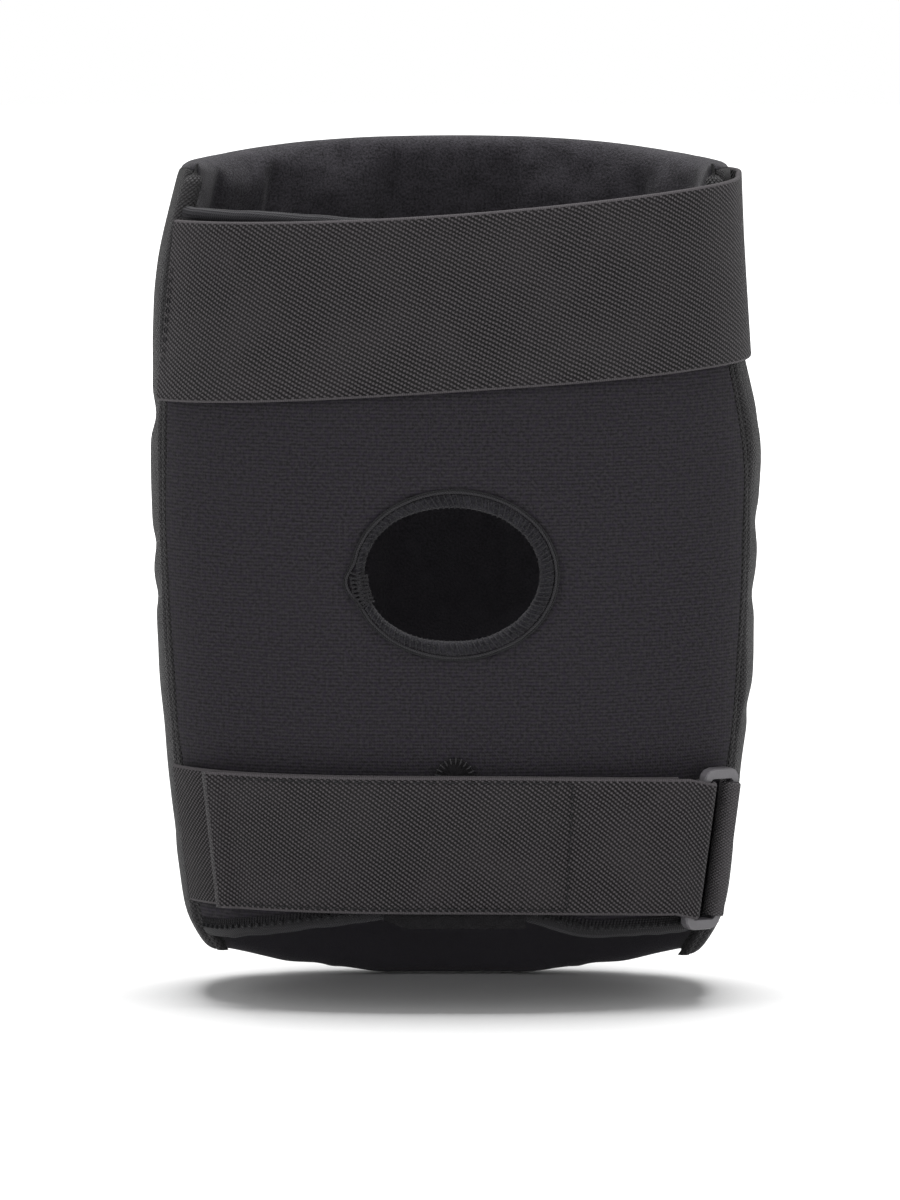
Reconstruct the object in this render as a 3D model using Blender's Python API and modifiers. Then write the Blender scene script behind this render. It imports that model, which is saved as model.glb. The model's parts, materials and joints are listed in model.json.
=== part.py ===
"""A padded pull-on knee guard, standing upright with the back of the knee towards -Y.

The origin is on the floor, midway between the two sides and midway between the ring at the
back and the cap at the front. +X is the guard's right side as seen from behind, and +Z is up the leg. A place on
the sleeve is given by a turn in degrees (0 at +X, -90 at the back, 90 at the front), a height,
and an offset outwards from the sleeve's outer skin.
"""

import math

import bmesh
import bpy
from mathutils import Matrix, Vector

# Sleeve, in metres
HEIGHT = 0.2335
WIDEST_Z = 0.1475
HALF_WIDTH = 0.084
TOP_TAPER = 0.0095
BOTTOM_TAPER = 0.014
BOTTOM_ROLL = 0.007
ROLL_TOP = 0.0240
ROLL_SPAN = 0.020
STRAP_PULL = 0.0045
PULL_Z = 0.188
PULL_SPAN = 0.045
DEPTH_RATIO = 0.62
SQUARENESS = 2.5
MIDDLE_Y = -0.0043
SEAM_TURN = 20.0
SEAM_GAP_TURN = 2.8
TOP_ARCH = 0.0045
SIDE_TOP_DROP = 0.0010
SIDE_BOTTOM_RISE = 0.0155
SIDE_BOTTOM_CURVE = 0.6
FLAT_FRONT_Y = 0.0302
SEAM_Y = -0.0243

# Padding at the front and in the wings
SKIN = 0.0010
CLEARANCE = 0.0004
PAD_DEPTH_SEAM = 0.0055
PAD_DEPTH_FRONT = 0.0130
RIVET_RELIEF = 0.0022
THIGH_ROWS = 9

# Fold line between the thigh half and the shin half
FLEX_Y = 0.0407
FLEX_Z = 0.1225
FLEX_HALF_GAP = 0.002
FLEX_HALF_ANGLE = math.radians(16.5)

# Neoprene back panel and its edges
PANEL_THICKNESS = 0.0030
PANEL_TOP = 0.2120
HEM_RADIUS = 0.0019
HEM_GAP = 0.0003
PIPING_RADIUS = 0.0016
HOLE_Z = 0.1200
HOLE_HALF_WIDTH = 0.0253
HOLE_HALF_HEIGHT = 0.0202
BINDING_HALF_WIDTH = 0.0020
BINDING_HALF_DEPTH = 0.0024
BOTTOM_HEM_LOW = 0.0185
BOTTOM_HEM_ARCH = 0.0072
BOTTOM_HEM_SPAN = 0.048
BOTTOM_HEM_HEIGHT = 0.0056

# Straps
STRAP_INNER = 0.0011
STRAP_THICKNESS = 0.0015
UPPER_WIDTH = 0.0495
UPPER_CENTRE_LEFT = 0.1890
UPPER_CENTRE_RIGHT = 0.2010
UPPER_FIRST_TURN = -157.5
UPPER_PEEL_TURN = -2.0
UPPER_END_TURN = 56.0
LOWER_WIDTH = 0.0380
LOWER_CENTRE = 0.0465
LOWER_CENTRE_DROP = 0.0036
LOWER_FIRST_TURN = -157.4
LOWER_LAST_TURN = -45.8
TAIL_FIRST_TURN = -61.0
TAIL_LAST_TURN = -139.4
TAPE_THICKNESS = 0.0009
LAYER_GAP = 0.0003

# Plastic ring and its tab
RING_BAR_RADIUS = 0.0015
RING_LENGTH = 0.0420
RING_CORNER = 0.0022
RING_OFFSET = 0.0042
RING_Z = 0.0428
TAB_BAR_TURN = -27.0
STRAP_BAR_TURN = -39.0
TAB_LENGTH = 0.0350
TAB_THICKNESS = 0.0010

# Hard cap and its rivets
CAP_Z = 0.1015
CAP_HALF_WIDTH = 0.043
CAP_HALF_HEIGHT = 0.048
CAP_THICKNESS = 0.0025
CAP_RIM_OFFSET = 0.0005
CAP_DOME = 0.0095
CAP_FLANGE = 0.76
RIVET_HEAD_RADIUS = 0.0040
RIVET_HEAD_HEIGHT = 0.0020
RIVET_SHANK_RADIUS = 0.0016
RIVET_CLEARANCE = 0.0003
RIVET_FLARE_RADIUS = 0.0027
RIVET_FLARE_HEIGHT = 0.0006
WASHER_RADIUS = 0.0048
WASHER_THICKNESS = 0.0008
RIVET_PLACES = ((-0.030, 0.0795), (0.030, 0.0795), (-0.0345, 0.1035), (0.0345, 0.1035))

PATCH_Z = 0.0645
PATCH_RADIUS = 0.0054
STRIP_LOW = 0.0233
STRIP_TOP = 0.0330

COLOURS = {
    "neoprene": ((0.028, 0.027, 0.031), 0.85, 0.0),
    "coarse_nylon": ((0.022, 0.022, 0.023), 0.80, 0.0),
    "brushed_lining": ((0.016, 0.016, 0.018), 0.95, 0.0),
    "foam": ((0.10, 0.10, 0.11), 0.90, 0.0),
    "elastic_webbing": ((0.045, 0.043, 0.043), 0.80, 0.0),
    "overlock_thread": ((0.024, 0.024, 0.026), 0.75, 0.0),
    "hook_tape": ((0.020, 0.020, 0.021), 0.70, 0.0),
    "loop_tape": ((0.024, 0.024, 0.025), 0.95, 0.0),
    "ring_plastic": ((0.035, 0.035, 0.038), 0.35, 0.0),
    "cap_plastic": ((0.018, 0.018, 0.019), 0.40, 0.0),
    "rivet_steel": ((0.30, 0.30, 0.31), 0.35, 1.0),
}


# ------------------------------------------------------------------ scene and materials


def clear_scene():
    for old in list(bpy.data.objects):
        bpy.data.objects.remove(old, do_unlink=True)


def new_collection(name):
    collection = bpy.data.collections.new(name)
    bpy.context.scene.collection.children.link(collection)
    return collection


def material_named(name):
    if name in bpy.data.materials:
        return bpy.data.materials[name]
    colour, roughness, metallic = COLOURS[name]
    material = bpy.data.materials.new(name)
    material.use_nodes = True
    shader = material.node_tree.nodes["Principled BSDF"]
    shader.inputs["Base Color"].default_value = (*colour, 1.0)
    shader.inputs["Roughness"].default_value = roughness
    shader.inputs["Metallic"].default_value = metallic
    return material


def add_object(name, bm, material, origin=Matrix.Identity(4), smooth=True):
    """A part from a closed mesh given in world space, with its object placed at origin."""
    bmesh.ops.recalc_face_normals(bm, faces=bm.faces[:])
    if bm.calc_volume(signed=True) < 0:
        bmesh.ops.reverse_faces(bm, faces=bm.faces[:])
    bm.transform(origin.inverted())
    mesh = bpy.data.meshes.new(name)
    bm.to_mesh(mesh)
    bm.free()
    if smooth:
        mesh.shade_smooth()
        mesh.set_sharp_from_angle(angle=math.radians(40))
    return link_part(name, mesh, material, origin)


def link_part(name, mesh, material, origin):
    part = bpy.data.objects.new(name, mesh)
    part.matrix_world = origin
    if not mesh.materials:
        mesh.materials.append(material_named(material))
    PARTS.objects.link(part)
    return part


def curve_to_part(name, curve, material, origin=Matrix.Identity(4)):
    """Turns a bevelled curve object into a welded mesh part and removes the curve."""
    bpy.context.view_layer.update()
    evaluated = curve.evaluated_get(bpy.context.evaluated_depsgraph_get())
    mesh = bpy.data.meshes.new_from_object(evaluated)
    bm = bmesh.new()
    bm.from_mesh(mesh)
    bmesh.ops.remove_doubles(bm, verts=bm.verts[:], dist=0.00001)
    bm.transform(curve.matrix_world)
    bpy.data.objects.remove(curve)
    bpy.data.meshes.remove(mesh)
    return add_object(name, bm, material, origin)


def tube(name, points, radius, material, cyclic=False, origin=Matrix.Identity(4)):
    """A round tube through points given in origin's space."""
    data = bpy.data.curves.new(name, "CURVE")
    data.dimensions = "3D"
    data.bevel_depth = radius
    data.bevel_resolution = 2
    data.use_fill_caps = not cyclic
    spline = data.splines.new("POLY")
    spline.points.add(len(points) - 1)
    for place, point in zip(spline.points, points):
        place.co = (*point, 1.0)
    spline.use_cyclic_u = cyclic
    curve = bpy.data.objects.new(name + "_path", data)
    curve.matrix_world = origin
    PARTS.objects.link(curve)
    return curve_to_part(name, curve, material, origin)


def cut(part, cutter):
    """Cuts part with cutter, which stays as a hidden wire guide."""
    modifier = part.modifiers.new("cut", "BOOLEAN")
    modifier.operation = "DIFFERENCE"
    modifier.solver = "EXACT"
    modifier.object = cutter


def add_cutter(name, bm):
    mesh = bpy.data.meshes.new(name)
    bm.to_mesh(mesh)
    bm.free()
    cutter = bpy.data.objects.new(name, mesh)
    cutter.hide_render = True
    cutter.display_type = "WIRE"
    CUTTERS.objects.link(cutter)
    return cutter


# ------------------------------------------------------------------ the sleeve's shape


def smooth_step(value):
    share = min(1.0, max(0.0, value))
    return share * share * (3 - 2 * share)


def half_width(z):
    """Half of the sleeve's width: widest above the knee and tapered both ways."""
    if z > WIDEST_Z:
        share = (z - WIDEST_Z) / (HEIGHT - WIDEST_Z)
        return HALF_WIDTH - TOP_TAPER * share**2
    share = (WIDEST_Z - z) / WIDEST_Z
    roll = BOTTOM_ROLL * smooth_step((ROLL_TOP - z) / ROLL_SPAN)
    return HALF_WIDTH - BOTTOM_TAPER * share**2 - roll


def pulled_width(side, z):
    """The half width, less what the upper strap draws in on the right side."""
    if side < 0:
        return half_width(z)
    away = abs(z - PULL_Z) / PULL_SPAN
    return half_width(z) - STRAP_PULL * (1 - smooth_step(away))


def signed_power(value, power):
    return math.copysign(abs(value) ** power, value)


def skin_normal(x, y, wide, deep):
    across = signed_power(x / wide, SQUARENESS - 1) / wide
    along = signed_power(y / deep, SQUARENESS - 1) / deep
    return Vector((across, along, 0.0)).normalized()


def sleeve(turn, z, offset=0.0):
    """The point at that turn and height, offset outwards from the sleeve's outer skin."""
    angle = math.radians(turn)
    wide = pulled_width(math.cos(angle), z)
    deep = half_width(z) * DEPTH_RATIO
    x = wide * signed_power(math.cos(angle), 2 / SQUARENESS)
    y = deep * signed_power(math.sin(angle), 2 / SQUARENESS)
    return Vector((x, y + MIDDLE_Y, z)) + skin_normal(x, y, wide, deep) * offset


def face_point(x, z, offset, side):
    """The point of the front (side 1) or back (side -1) of the sleeve at x and z."""
    wide = pulled_width(x, z)
    deep = half_width(z) * DEPTH_RATIO
    y = side * deep * (1 - abs(x / wide) ** SQUARENESS) ** (1 / SQUARENESS)
    return Vector((x, y + MIDDLE_Y, z)) + skin_normal(x, y, wide, deep) * offset


def face_frame(x, z, offset, side):
    """A frame on the front or back of the sleeve whose Z axis points straight out of it."""
    point = face_point(x, z, offset, side)
    out = (face_point(x, z, offset + 0.001, side) - point).normalized()
    frame = out.to_track_quat("Z", "Y").to_matrix().to_4x4()
    frame.translation = point
    return frame


def front_share(turn):
    """0 at the side seams and 1 over the front of the knee."""
    from_front = abs(turn - 90.0)
    return smooth_step((90.0 + SEAM_TURN - from_front) / (30.0 + SEAM_TURN))


def pad_depth(turn):
    return PAD_DEPTH_SEAM + (PAD_DEPTH_FRONT - PAD_DEPTH_SEAM) * front_share(turn)


def side_share(turn):
    """0 along the flat of the front and 1 at the side seams."""
    y = sleeve(turn, 0.0).y
    return min(1.0, max(0.0, (FLAT_FRONT_Y - y) / (FLAT_FRONT_Y - SEAM_Y)))


def top_edge(turn):
    arch = TOP_ARCH * (sleeve(turn, HEIGHT).x / HALF_WIDTH) ** 2
    return HEIGHT - arch - SIDE_TOP_DROP * side_share(turn)


def bottom_edge(turn):
    return SIDE_BOTTOM_RISE * side_share(turn) ** SIDE_BOTTOM_CURVE


def flex_gap(turn):
    """Half the gap between the thigh and shin halves: a wedge that opens behind the fold."""
    lining = sleeve(turn, FLEX_Z, -pad_depth(turn))
    behind = max(0.0, FLEX_Y - lining.y)
    return FLEX_HALF_GAP + behind * math.tan(FLEX_HALF_ANGLE)


def above_flex(turn):
    return FLEX_Z + flex_gap(turn)


def below_flex(turn):
    return FLEX_Z - flex_gap(turn)


def fixed(value):
    return lambda turn: value


# ------------------------------------------------------------------ wrapped plates and ribbons


def unit_plate(columns, rows):
    """A plate from 0 to 1 along x, y and z, split into columns and rows."""
    plate = bmesh.new()
    bmesh.ops.create_grid(plate, x_segments=columns, y_segments=rows, size=0.5)
    grown = bmesh.ops.extrude_face_region(plate, geom=plate.faces[:])
    lifted = [item for item in grown["geom"] if isinstance(item, bmesh.types.BMVert)]
    bmesh.ops.translate(plate, verts=lifted, vec=(0.0, 0.0, 1.0))
    bmesh.ops.translate(plate, verts=plate.verts[:], vec=(0.5, 0.5, 0.0))
    return plate


def wrapped(name, material, turns, low, high, inner, outer, grid, origin=Matrix.Identity(4)):
    """A plate wrapped on the sleeve. low, high, inner and outer are functions of the turn."""
    plate = unit_plate(*grid)
    for vertex in plate.verts:
        along, up, out = vertex.co
        turn = turns[0] + (turns[1] - turns[0]) * along
        z = low(turn) + (high(turn) - low(turn)) * up
        offset = inner(turn) + (outer(turn) - inner(turn)) * out
        vertex.co = sleeve(turn, z, offset)
    return add_object(name, plate, material, origin)


def ribbon(name, material, stations, width, thickness, origin=Matrix.Identity(4)):
    """A flat strip through stations, each a point, a direction across and one out of it."""
    plate = unit_plate(len(stations) - 1, 1)
    for vertex in plate.verts:
        along, up, out = vertex.co
        point, across, outwards = stations[round(along * (len(stations) - 1))]
        vertex.co = point + across * (up - 0.5) * width + outwards * (out - 0.5) * thickness
    return add_object(name, plate, material, origin)


# ------------------------------------------------------------------ padded front


def skin_layer(name, material, turns, low, high, grid, depth_of_outer):
    """A thin skin whose outer face lies depth_of_outer(turn) under the sleeve's skin."""
    return wrapped(
        name,
        material,
        turns,
        low,
        high,
        lambda turn: -depth_of_outer(turn) - SKIN,
        lambda turn: -depth_of_outer(turn),
        grid,
    )


def lining_depth(turn):
    return pad_depth(turn) - SKIN


def foam_block(name, turns, low, high, grid, relief=0.0):
    """A foam block between the cover and the lining."""
    edge = SKIN + CLEARANCE
    return wrapped(
        name,
        "foam",
        turns,
        low,
        high,
        lambda turn: -(pad_depth(turn) - edge),
        lambda turn: -edge - relief,
        grid,
    )


def padded_half(prefix, low, high, grid):
    """Cover and lining of the half of the front that lies between low and high."""
    first = -SEAM_TURN + SEAM_GAP_TURN
    turns = (first, 180.0 - first)
    cover = skin_layer(prefix + "_cover", "coarse_nylon", turns, low, high, grid, fixed(0.0))
    skin_layer(prefix + "_lining", "brushed_lining", turns, low, high, grid, lining_depth)
    return cover


def thigh_half():
    padded_half("thigh", above_flex, top_edge, (36, THIGH_ROWS))
    first = -SEAM_TURN + SEAM_GAP_TURN
    channels = (
        ("wing_right", first, 44.0, 10),
        ("front_right", 45.0, 77.0, 6),
        ("front_center", 78.0, 100.0, 4),
        ("front_left", 101.0, 135.0, 6),
        ("wing_left", 136.0, 180.0 - first, 10),
    )
    for place, start, end, columns in channels:
        foam_block("thigh_foam_" + place, (start, end), above_flex, top_edge, (columns, THIGH_ROWS))


def shin_half():
    cover = padded_half("shin", bottom_edge, below_flex, (36, 4))
    first = -SEAM_TURN + SEAM_GAP_TURN
    foam_block("shin_foam_right", (first, 44.0), bottom_edge, below_flex, (10, 4))
    foam_block("knee_foam", (45.0, 135.0), bottom_edge, below_flex, (14, 4), RIVET_RELIEF)
    foam_block("shin_foam_left", (136.0, 180.0 - first), bottom_edge, below_flex, (10, 4))
    return cover


def flex_gussets():
    """Soft wedges that fill the gap between the halves at each side."""
    first = -SEAM_TURN + SEAM_GAP_TURN
    inner = fixed(-PAD_DEPTH_SEAM)
    outer = fixed(-SKIN)
    low = lambda turn: below_flex(turn) + CLEARANCE
    high = lambda turn: above_flex(turn) - CLEARANCE
    spans = (("right", first, 60.0), ("left", 120.0, 180.0 - first))
    for side, start, end in spans:
        name = "flex_gusset_" + side
        wrapped(name, "coarse_nylon", (start, end), low, high, inner, outer, (14, 2))


# ------------------------------------------------------------------ neoprene back


def turn_to_x(turn, z):
    return sleeve(turn, z).x


def bottom_hem_low(turn):
    """Height of the neoprene's lower edge, which arches up at the middle."""
    share = turn_to_x(turn, BOTTOM_HEM_LOW) / BOTTOM_HEM_SPAN
    return BOTTOM_HEM_LOW + BOTTOM_HEM_ARCH * max(0.0, 1 - share**2)


def bottom_hem_high(turn):
    return bottom_hem_low(turn) + BOTTOM_HEM_HEIGHT


def back_turns():
    edge = SEAM_TURN + SEAM_GAP_TURN
    return (-180.0 + edge, -edge)


def oval_cutter():
    cone = bmesh.new()
    bmesh.ops.create_cone(
        cone,
        cap_ends=True,
        segments=32,
        radius1=1.0,
        radius2=1.0,
        depth=1.0,
    )
    wide = HOLE_HALF_WIDTH + BINDING_HALF_WIDTH + CLEARANCE
    high = HOLE_HALF_HEIGHT + BINDING_HALF_WIDTH + CLEARANCE
    reach = HALF_WIDTH * DEPTH_RATIO
    size = Matrix.Diagonal((wide, high, reach, 1.0))
    upright = Matrix.Rotation(math.radians(90), 4, "X")
    place = Matrix.Translation((0.0, -reach, HOLE_Z))
    cone.transform(place @ upright @ size)
    return add_cutter("hole_cutter", cone)


def back_panel():
    low = lambda turn: bottom_hem_high(turn) + CLEARANCE
    panel = wrapped(
        "back_panel",
        "neoprene",
        back_turns(),
        low,
        fixed(PANEL_TOP),
        fixed(-PANEL_THICKNESS),
        fixed(0.0),
        (28, 10),
    )
    cut(panel, oval_cutter())


def hole_binding():
    """A flattened ring that follows the panel's curve round the oval hole."""
    bpy.ops.mesh.primitive_torus_add(
        major_segments=32,
        minor_segments=6,
        major_radius=1.0,
        minor_radius=0.25,
    )
    ring = bpy.context.object
    binding = bmesh.new()
    binding.from_mesh(ring.data)
    spare = ring.data
    bpy.data.objects.remove(ring)
    bpy.data.meshes.remove(spare)
    for vertex in binding.verts:
        reach = math.hypot(vertex.co.x, vertex.co.y)
        beyond = (reach - 1.0) / 0.25 * BINDING_HALF_WIDTH
        x = vertex.co.x / reach * (HOLE_HALF_WIDTH + beyond)
        z = HOLE_Z + vertex.co.y / reach * (HOLE_HALF_HEIGHT + beyond)
        offset = vertex.co.z / 0.25 * BINDING_HALF_DEPTH - PANEL_THICKNESS / 2
        vertex.co = face_point(x, z, offset, -1)
    add_object("hole_binding", binding, "overlock_thread")


def hems():
    first, last = back_turns()
    z = PANEL_TOP + HEM_GAP + HEM_RADIUS
    steps = 20
    turns = [first + (last - first) * step / steps for step in range(steps + 1)]
    points = [sleeve(turn, z, -PANEL_THICKNESS / 2) for turn in turns]
    tube("top_hem", points, HEM_RADIUS, "overlock_thread")
    wrapped(
        "bottom_hem",
        "overlock_thread",
        back_turns(),
        bottom_hem_low,
        bottom_hem_high,
        fixed(-PANEL_THICKNESS - CLEARANCE),
        fixed(CLEARANCE),
        (28, 1),
    )


def seam_pipings():
    """Rolled seams from the bottom corner of each wing to its top."""
    low = SIDE_BOTTOM_RISE
    high = top_edge(-SEAM_TURN)
    steps = 16
    for side, turn in (("right", -SEAM_TURN), ("left", -180.0 + SEAM_TURN)):
        heights = [low + (high - low) * step / steps for step in range(steps + 1)]
        points = [sleeve(turn, z, -PIPING_RADIUS) for z in heights]
        tube("seam_piping_" + side, points, PIPING_RADIUS, "coarse_nylon")


def stitch_patch():
    disc = bmesh.new()
    bmesh.ops.create_cone(
        disc,
        cap_ends=True,
        segments=20,
        radius1=PATCH_RADIUS,
        radius2=PATCH_RADIUS,
        depth=1.0,
    )
    low = LAYER_GAP
    high = STRAP_INNER - LAYER_GAP
    for vertex in disc.verts:
        offset = low + (high - low) * (vertex.co.z + 0.5)
        vertex.co = face_point(vertex.co.x, PATCH_Z + vertex.co.y, offset, -1)
    add_object("stitch_patch", disc, "overlock_thread")


# ------------------------------------------------------------------ upper strap


def upper_centre(turn):
    """Centre height of the upper strap: it climbs across the back and runs level forward."""
    share = (sleeve(turn, UPPER_CENTRE_LEFT).x + HALF_WIDTH) / (2 * HALF_WIDTH)
    climb = 1.0 if turn > UPPER_PEEL_TURN else share
    return UPPER_CENTRE_LEFT + (UPPER_CENTRE_RIGHT - UPPER_CENTRE_LEFT) * climb


def upper_low(turn):
    return upper_centre(turn) - UPPER_WIDTH / 2


def upper_high(turn):
    return upper_centre(turn) + UPPER_WIDTH / 2


def peel_origin():
    """Frame of the upper strap's peel: on the strap's outer face, its Z along the sleeve."""
    offset = STRAP_INNER + STRAP_THICKNESS
    low = sleeve(UPPER_PEEL_TURN, upper_low(UPPER_PEEL_TURN), offset)
    high = sleeve(UPPER_PEEL_TURN, upper_high(UPPER_PEEL_TURN), offset)
    frame = (high - low).to_track_quat("Z", "Y").to_matrix().to_4x4()
    frame.translation = (low + high) / 2
    return frame


def closure_stack(turn):
    """How far the loop and hook tapes lift the strap's free end, from 0 at its peel line."""
    lift = 2 * (TAPE_THICKNESS + LAYER_GAP) + LAYER_GAP - STRAP_INNER
    return lift * smooth_step((turn - UPPER_PEEL_TURN) / 18.0)


def upper_straps():
    wrapped(
        "upper_strap",
        "elastic_webbing",
        (UPPER_FIRST_TURN, UPPER_PEEL_TURN - 1.2),
        upper_low,
        upper_high,
        fixed(STRAP_INNER),
        fixed(STRAP_INNER + STRAP_THICKNESS),
        (34, 5),
    )
    wrapped(
        "upper_strap_end",
        "elastic_webbing",
        (UPPER_PEEL_TURN + 1.2, UPPER_END_TURN),
        upper_low,
        upper_high,
        lambda turn: STRAP_INNER + closure_stack(turn),
        lambda turn: STRAP_INNER + STRAP_THICKNESS + closure_stack(turn),
        (14, 5),
        peel_origin(),
    )


def upper_tapes():
    """Loop tape on the cover and hook tape behind the strap's free end."""
    inset = 0.004
    low = lambda turn: upper_low(turn) + inset
    high = lambda turn: upper_high(turn) - inset
    loop_top = LAYER_GAP + TAPE_THICKNESS
    hook_base = loop_top + LAYER_GAP
    loop_turns = (20.0, 62.0)
    hook_turns = (24.0, UPPER_END_TURN - 2.0)
    wrapped(
        "upper_loop_patch",
        "loop_tape",
        loop_turns,
        low,
        high,
        fixed(LAYER_GAP),
        fixed(loop_top),
        (10, 5),
    )
    wrapped(
        "upper_hook_patch",
        "hook_tape",
        hook_turns,
        low,
        high,
        fixed(hook_base),
        fixed(hook_base + TAPE_THICKNESS),
        (8, 5),
        peel_origin(),
    )


# ------------------------------------------------------------------ lower strap and ring


def lower_centre(turn):
    """Centre height of the lower strap, which drops a little towards the ring."""
    share = max(0.0, sleeve(turn, LOWER_CENTRE).x / HALF_WIDTH)
    return LOWER_CENTRE - LOWER_CENTRE_DROP * share**2


def strap_station(turn, offset):
    """A station of the lower strap: its point, the way across it and the way out of it."""
    z = lower_centre(turn)
    point = sleeve(turn, z, offset)
    across = (sleeve(turn, z + 0.01, offset) - sleeve(turn, z - 0.01, offset)).normalized()
    outwards = (sleeve(turn, z, offset + 0.01) - point).normalized()
    return point, across, outwards


def ring_frame():
    """Frame on the ring's tab bar: X to the strap bar, Z along the bar, Y out of the sleeve."""
    reach = RING_LENGTH / 2
    low = sleeve(TAB_BAR_TURN, RING_Z - reach, RING_OFFSET)
    high = sleeve(TAB_BAR_TURN, RING_Z + reach, RING_OFFSET)
    bar = (high - low).normalized()
    to_strap = sleeve(STRAP_BAR_TURN, RING_Z, RING_OFFSET) - (low + high) / 2
    sideways = (to_strap - bar * to_strap.dot(bar)).normalized()
    frame = Matrix((sideways, bar.cross(sideways), bar)).transposed().to_4x4()
    frame.translation = (low + high) / 2
    return frame


def ring_width():
    to_strap = sleeve(STRAP_BAR_TURN, RING_Z, RING_OFFSET) - ring_frame().translation
    return to_strap.dot(ring_frame().col[0].to_3d())


def strap_bar_frame():
    return ring_frame() @ Matrix.Translation((ring_width(), 0.0, 0.0))


def strap_ring():
    """A rounded rectangle of round bar, as wide as the two bars are apart."""
    reach = RING_LENGTH / 2 - RING_CORNER
    width = ring_width()
    centres = (
        (width - RING_CORNER, reach, 0),
        (RING_CORNER, reach, 90),
        (RING_CORNER, -reach, 180),
        (width - RING_CORNER, -reach, 270),
    )
    points = []
    for x, z, start in centres:
        for step in range(4):
            angle = math.radians(start + 30 * step)
            offset = Vector((math.cos(angle), 0.0, math.sin(angle))) * RING_CORNER
            points.append(Vector((x, 0.0, z)) + offset)
    tube("strap_ring", points, RING_BAR_RADIUS, "ring_plastic", True, ring_frame())


def bar_wrap(frame, radius, start, end, steps):
    """Stations round a bar, from start to end degrees in the frame's XY plane."""
    turned = frame.to_3x3()
    stations = []
    for step in range(steps + 1):
        angle = math.radians(start + (end - start) * step / steps)
        outwards = turned @ Vector((math.cos(angle), math.sin(angle), 0.0))
        stations.append((frame.translation + outwards * radius, turned.col[2], outwards))
    return stations


def ring_tab():
    """A fabric tab folded round the ring's outer bar, with both ends towards the seam."""
    frame = ring_frame()
    turned = frame.to_3x3()
    radius = RING_BAR_RADIUS + 2 * CLEARANCE + TAB_THICKNESS / 2
    reach = 0.0070
    outwards = turned @ Vector((0.0, 1.0, 0.0))
    seamward = turned @ Vector((-1.0, 0.0, 0.0))
    low_end = frame.translation - outwards * radius + seamward * reach
    high_end = low_end + outwards * (TAB_THICKNESS + 2 * CLEARANCE)
    stations = [(low_end, turned.col[2], -outwards)]
    stations += bar_wrap(frame, radius, -90, 90, 8)
    stations.append((high_end, turned.col[2], outwards))
    ribbon("ring_tab", "coarse_nylon", stations, TAB_LENGTH, TAB_THICKNESS)


def tail_offset():
    """Offset of the tail's middle when it lies on the tapes over the base strap."""
    base_top = STRAP_INNER + STRAP_THICKNESS
    return base_top + TAPE_THICKNESS + 2 * LAYER_GAP + STRAP_THICKNESS / 2


def lower_straps():
    base_step = (LOWER_LAST_TURN - LOWER_FIRST_TURN) / 16
    base_turns = [LOWER_FIRST_TURN + base_step * step for step in range(17)]
    middle = STRAP_INNER + STRAP_THICKNESS / 2
    base = [strap_station(turn, middle) for turn in base_turns]
    ribbon("lower_strap", "elastic_webbing", base, LOWER_WIDTH, STRAP_THICKNESS)
    frame = strap_bar_frame()
    radius = RING_BAR_RADIUS + CLEARANCE + STRAP_THICKNESS / 2
    tail = bar_wrap(frame, radius, -90, -270, 8)
    lifts = (0.0016, 0.0010, 0.0004)
    tail += [
        strap_station(-45.0 - 5.0 * step, tail_offset() + lift)
        for step, lift in enumerate(lifts)
    ]
    tail_step = (TAIL_LAST_TURN - TAIL_FIRST_TURN) / 14
    tail += [strap_station(TAIL_FIRST_TURN + tail_step * step, tail_offset()) for step in range(15)]
    ribbon("lower_strap_tail", "elastic_webbing", tail, LOWER_WIDTH, STRAP_THICKNESS, frame)


def tail_tapes():
    """Hook tape behind the tail, and the short strip that shows below it."""
    base = STRAP_INNER + STRAP_THICKNESS + LAYER_GAP
    top = base + TAPE_THICKNESS
    split = STRIP_TOP
    wrapped(
        "tail_hook_patch",
        "hook_tape",
        (-136.5, -72.0),
        fixed(split + CLEARANCE),
        lambda turn: lower_centre(turn) + LOWER_WIDTH / 2 - 0.002,
        fixed(base),
        fixed(top),
        (14, 3),
        strap_bar_frame(),
    )
    wrapped(
        "tail_loop_strip",
        "loop_tape",
        (-100.0, -80.0),
        fixed(STRIP_LOW),
        fixed(split),
        fixed(base),
        fixed(top),
        (5, 2),
    )


# ------------------------------------------------------------------ hard cap and rivets


def cap_offset(reach):
    """Offset of the cap's inner face: a flat flange round a dome."""
    return CAP_RIM_OFFSET + CAP_DOME * (1 - smooth_step(reach / CAP_FLANGE))


def knee_cap(rivet_cutter):
    sheet = bmesh.new()
    bmesh.ops.create_grid(sheet, x_segments=10, y_segments=12, size=1.0)
    for vertex in sheet.verts:
        u, v = vertex.co.x, vertex.co.y
        across = u * math.sqrt(1 - v * v / 2)
        up = v * math.sqrt(1 - u * u / 2)
        offset = cap_offset(math.hypot(across, up)) + CAP_THICKNESS
        x = across * CAP_HALF_WIDTH
        z = CAP_Z + up * CAP_HALF_HEIGHT
        vertex.co = face_point(x, z, offset, 1)
    bmesh.ops.recalc_face_normals(sheet, faces=sheet.faces[:])
    outwards = sum((face.normal for face in sheet.faces), Vector())
    if outwards.y < 0:
        bmesh.ops.reverse_faces(sheet, faces=sheet.faces[:])
    mesh = bpy.data.meshes.new("knee_cap")
    sheet.to_mesh(mesh)
    sheet.free()
    mesh.shade_smooth()
    cap = link_part("knee_cap", mesh, "cap_plastic", Matrix.Identity(4))
    shell = cap.modifiers.new("shell", "SOLIDIFY")
    shell.thickness = CAP_THICKNESS
    shell.offset = -1.0
    cut(cap, rivet_cutter)


def rivet_frame(x, z):
    return face_frame(x, z, CAP_RIM_OFFSET + CAP_THICKNESS + CLEARANCE, 1)


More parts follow.
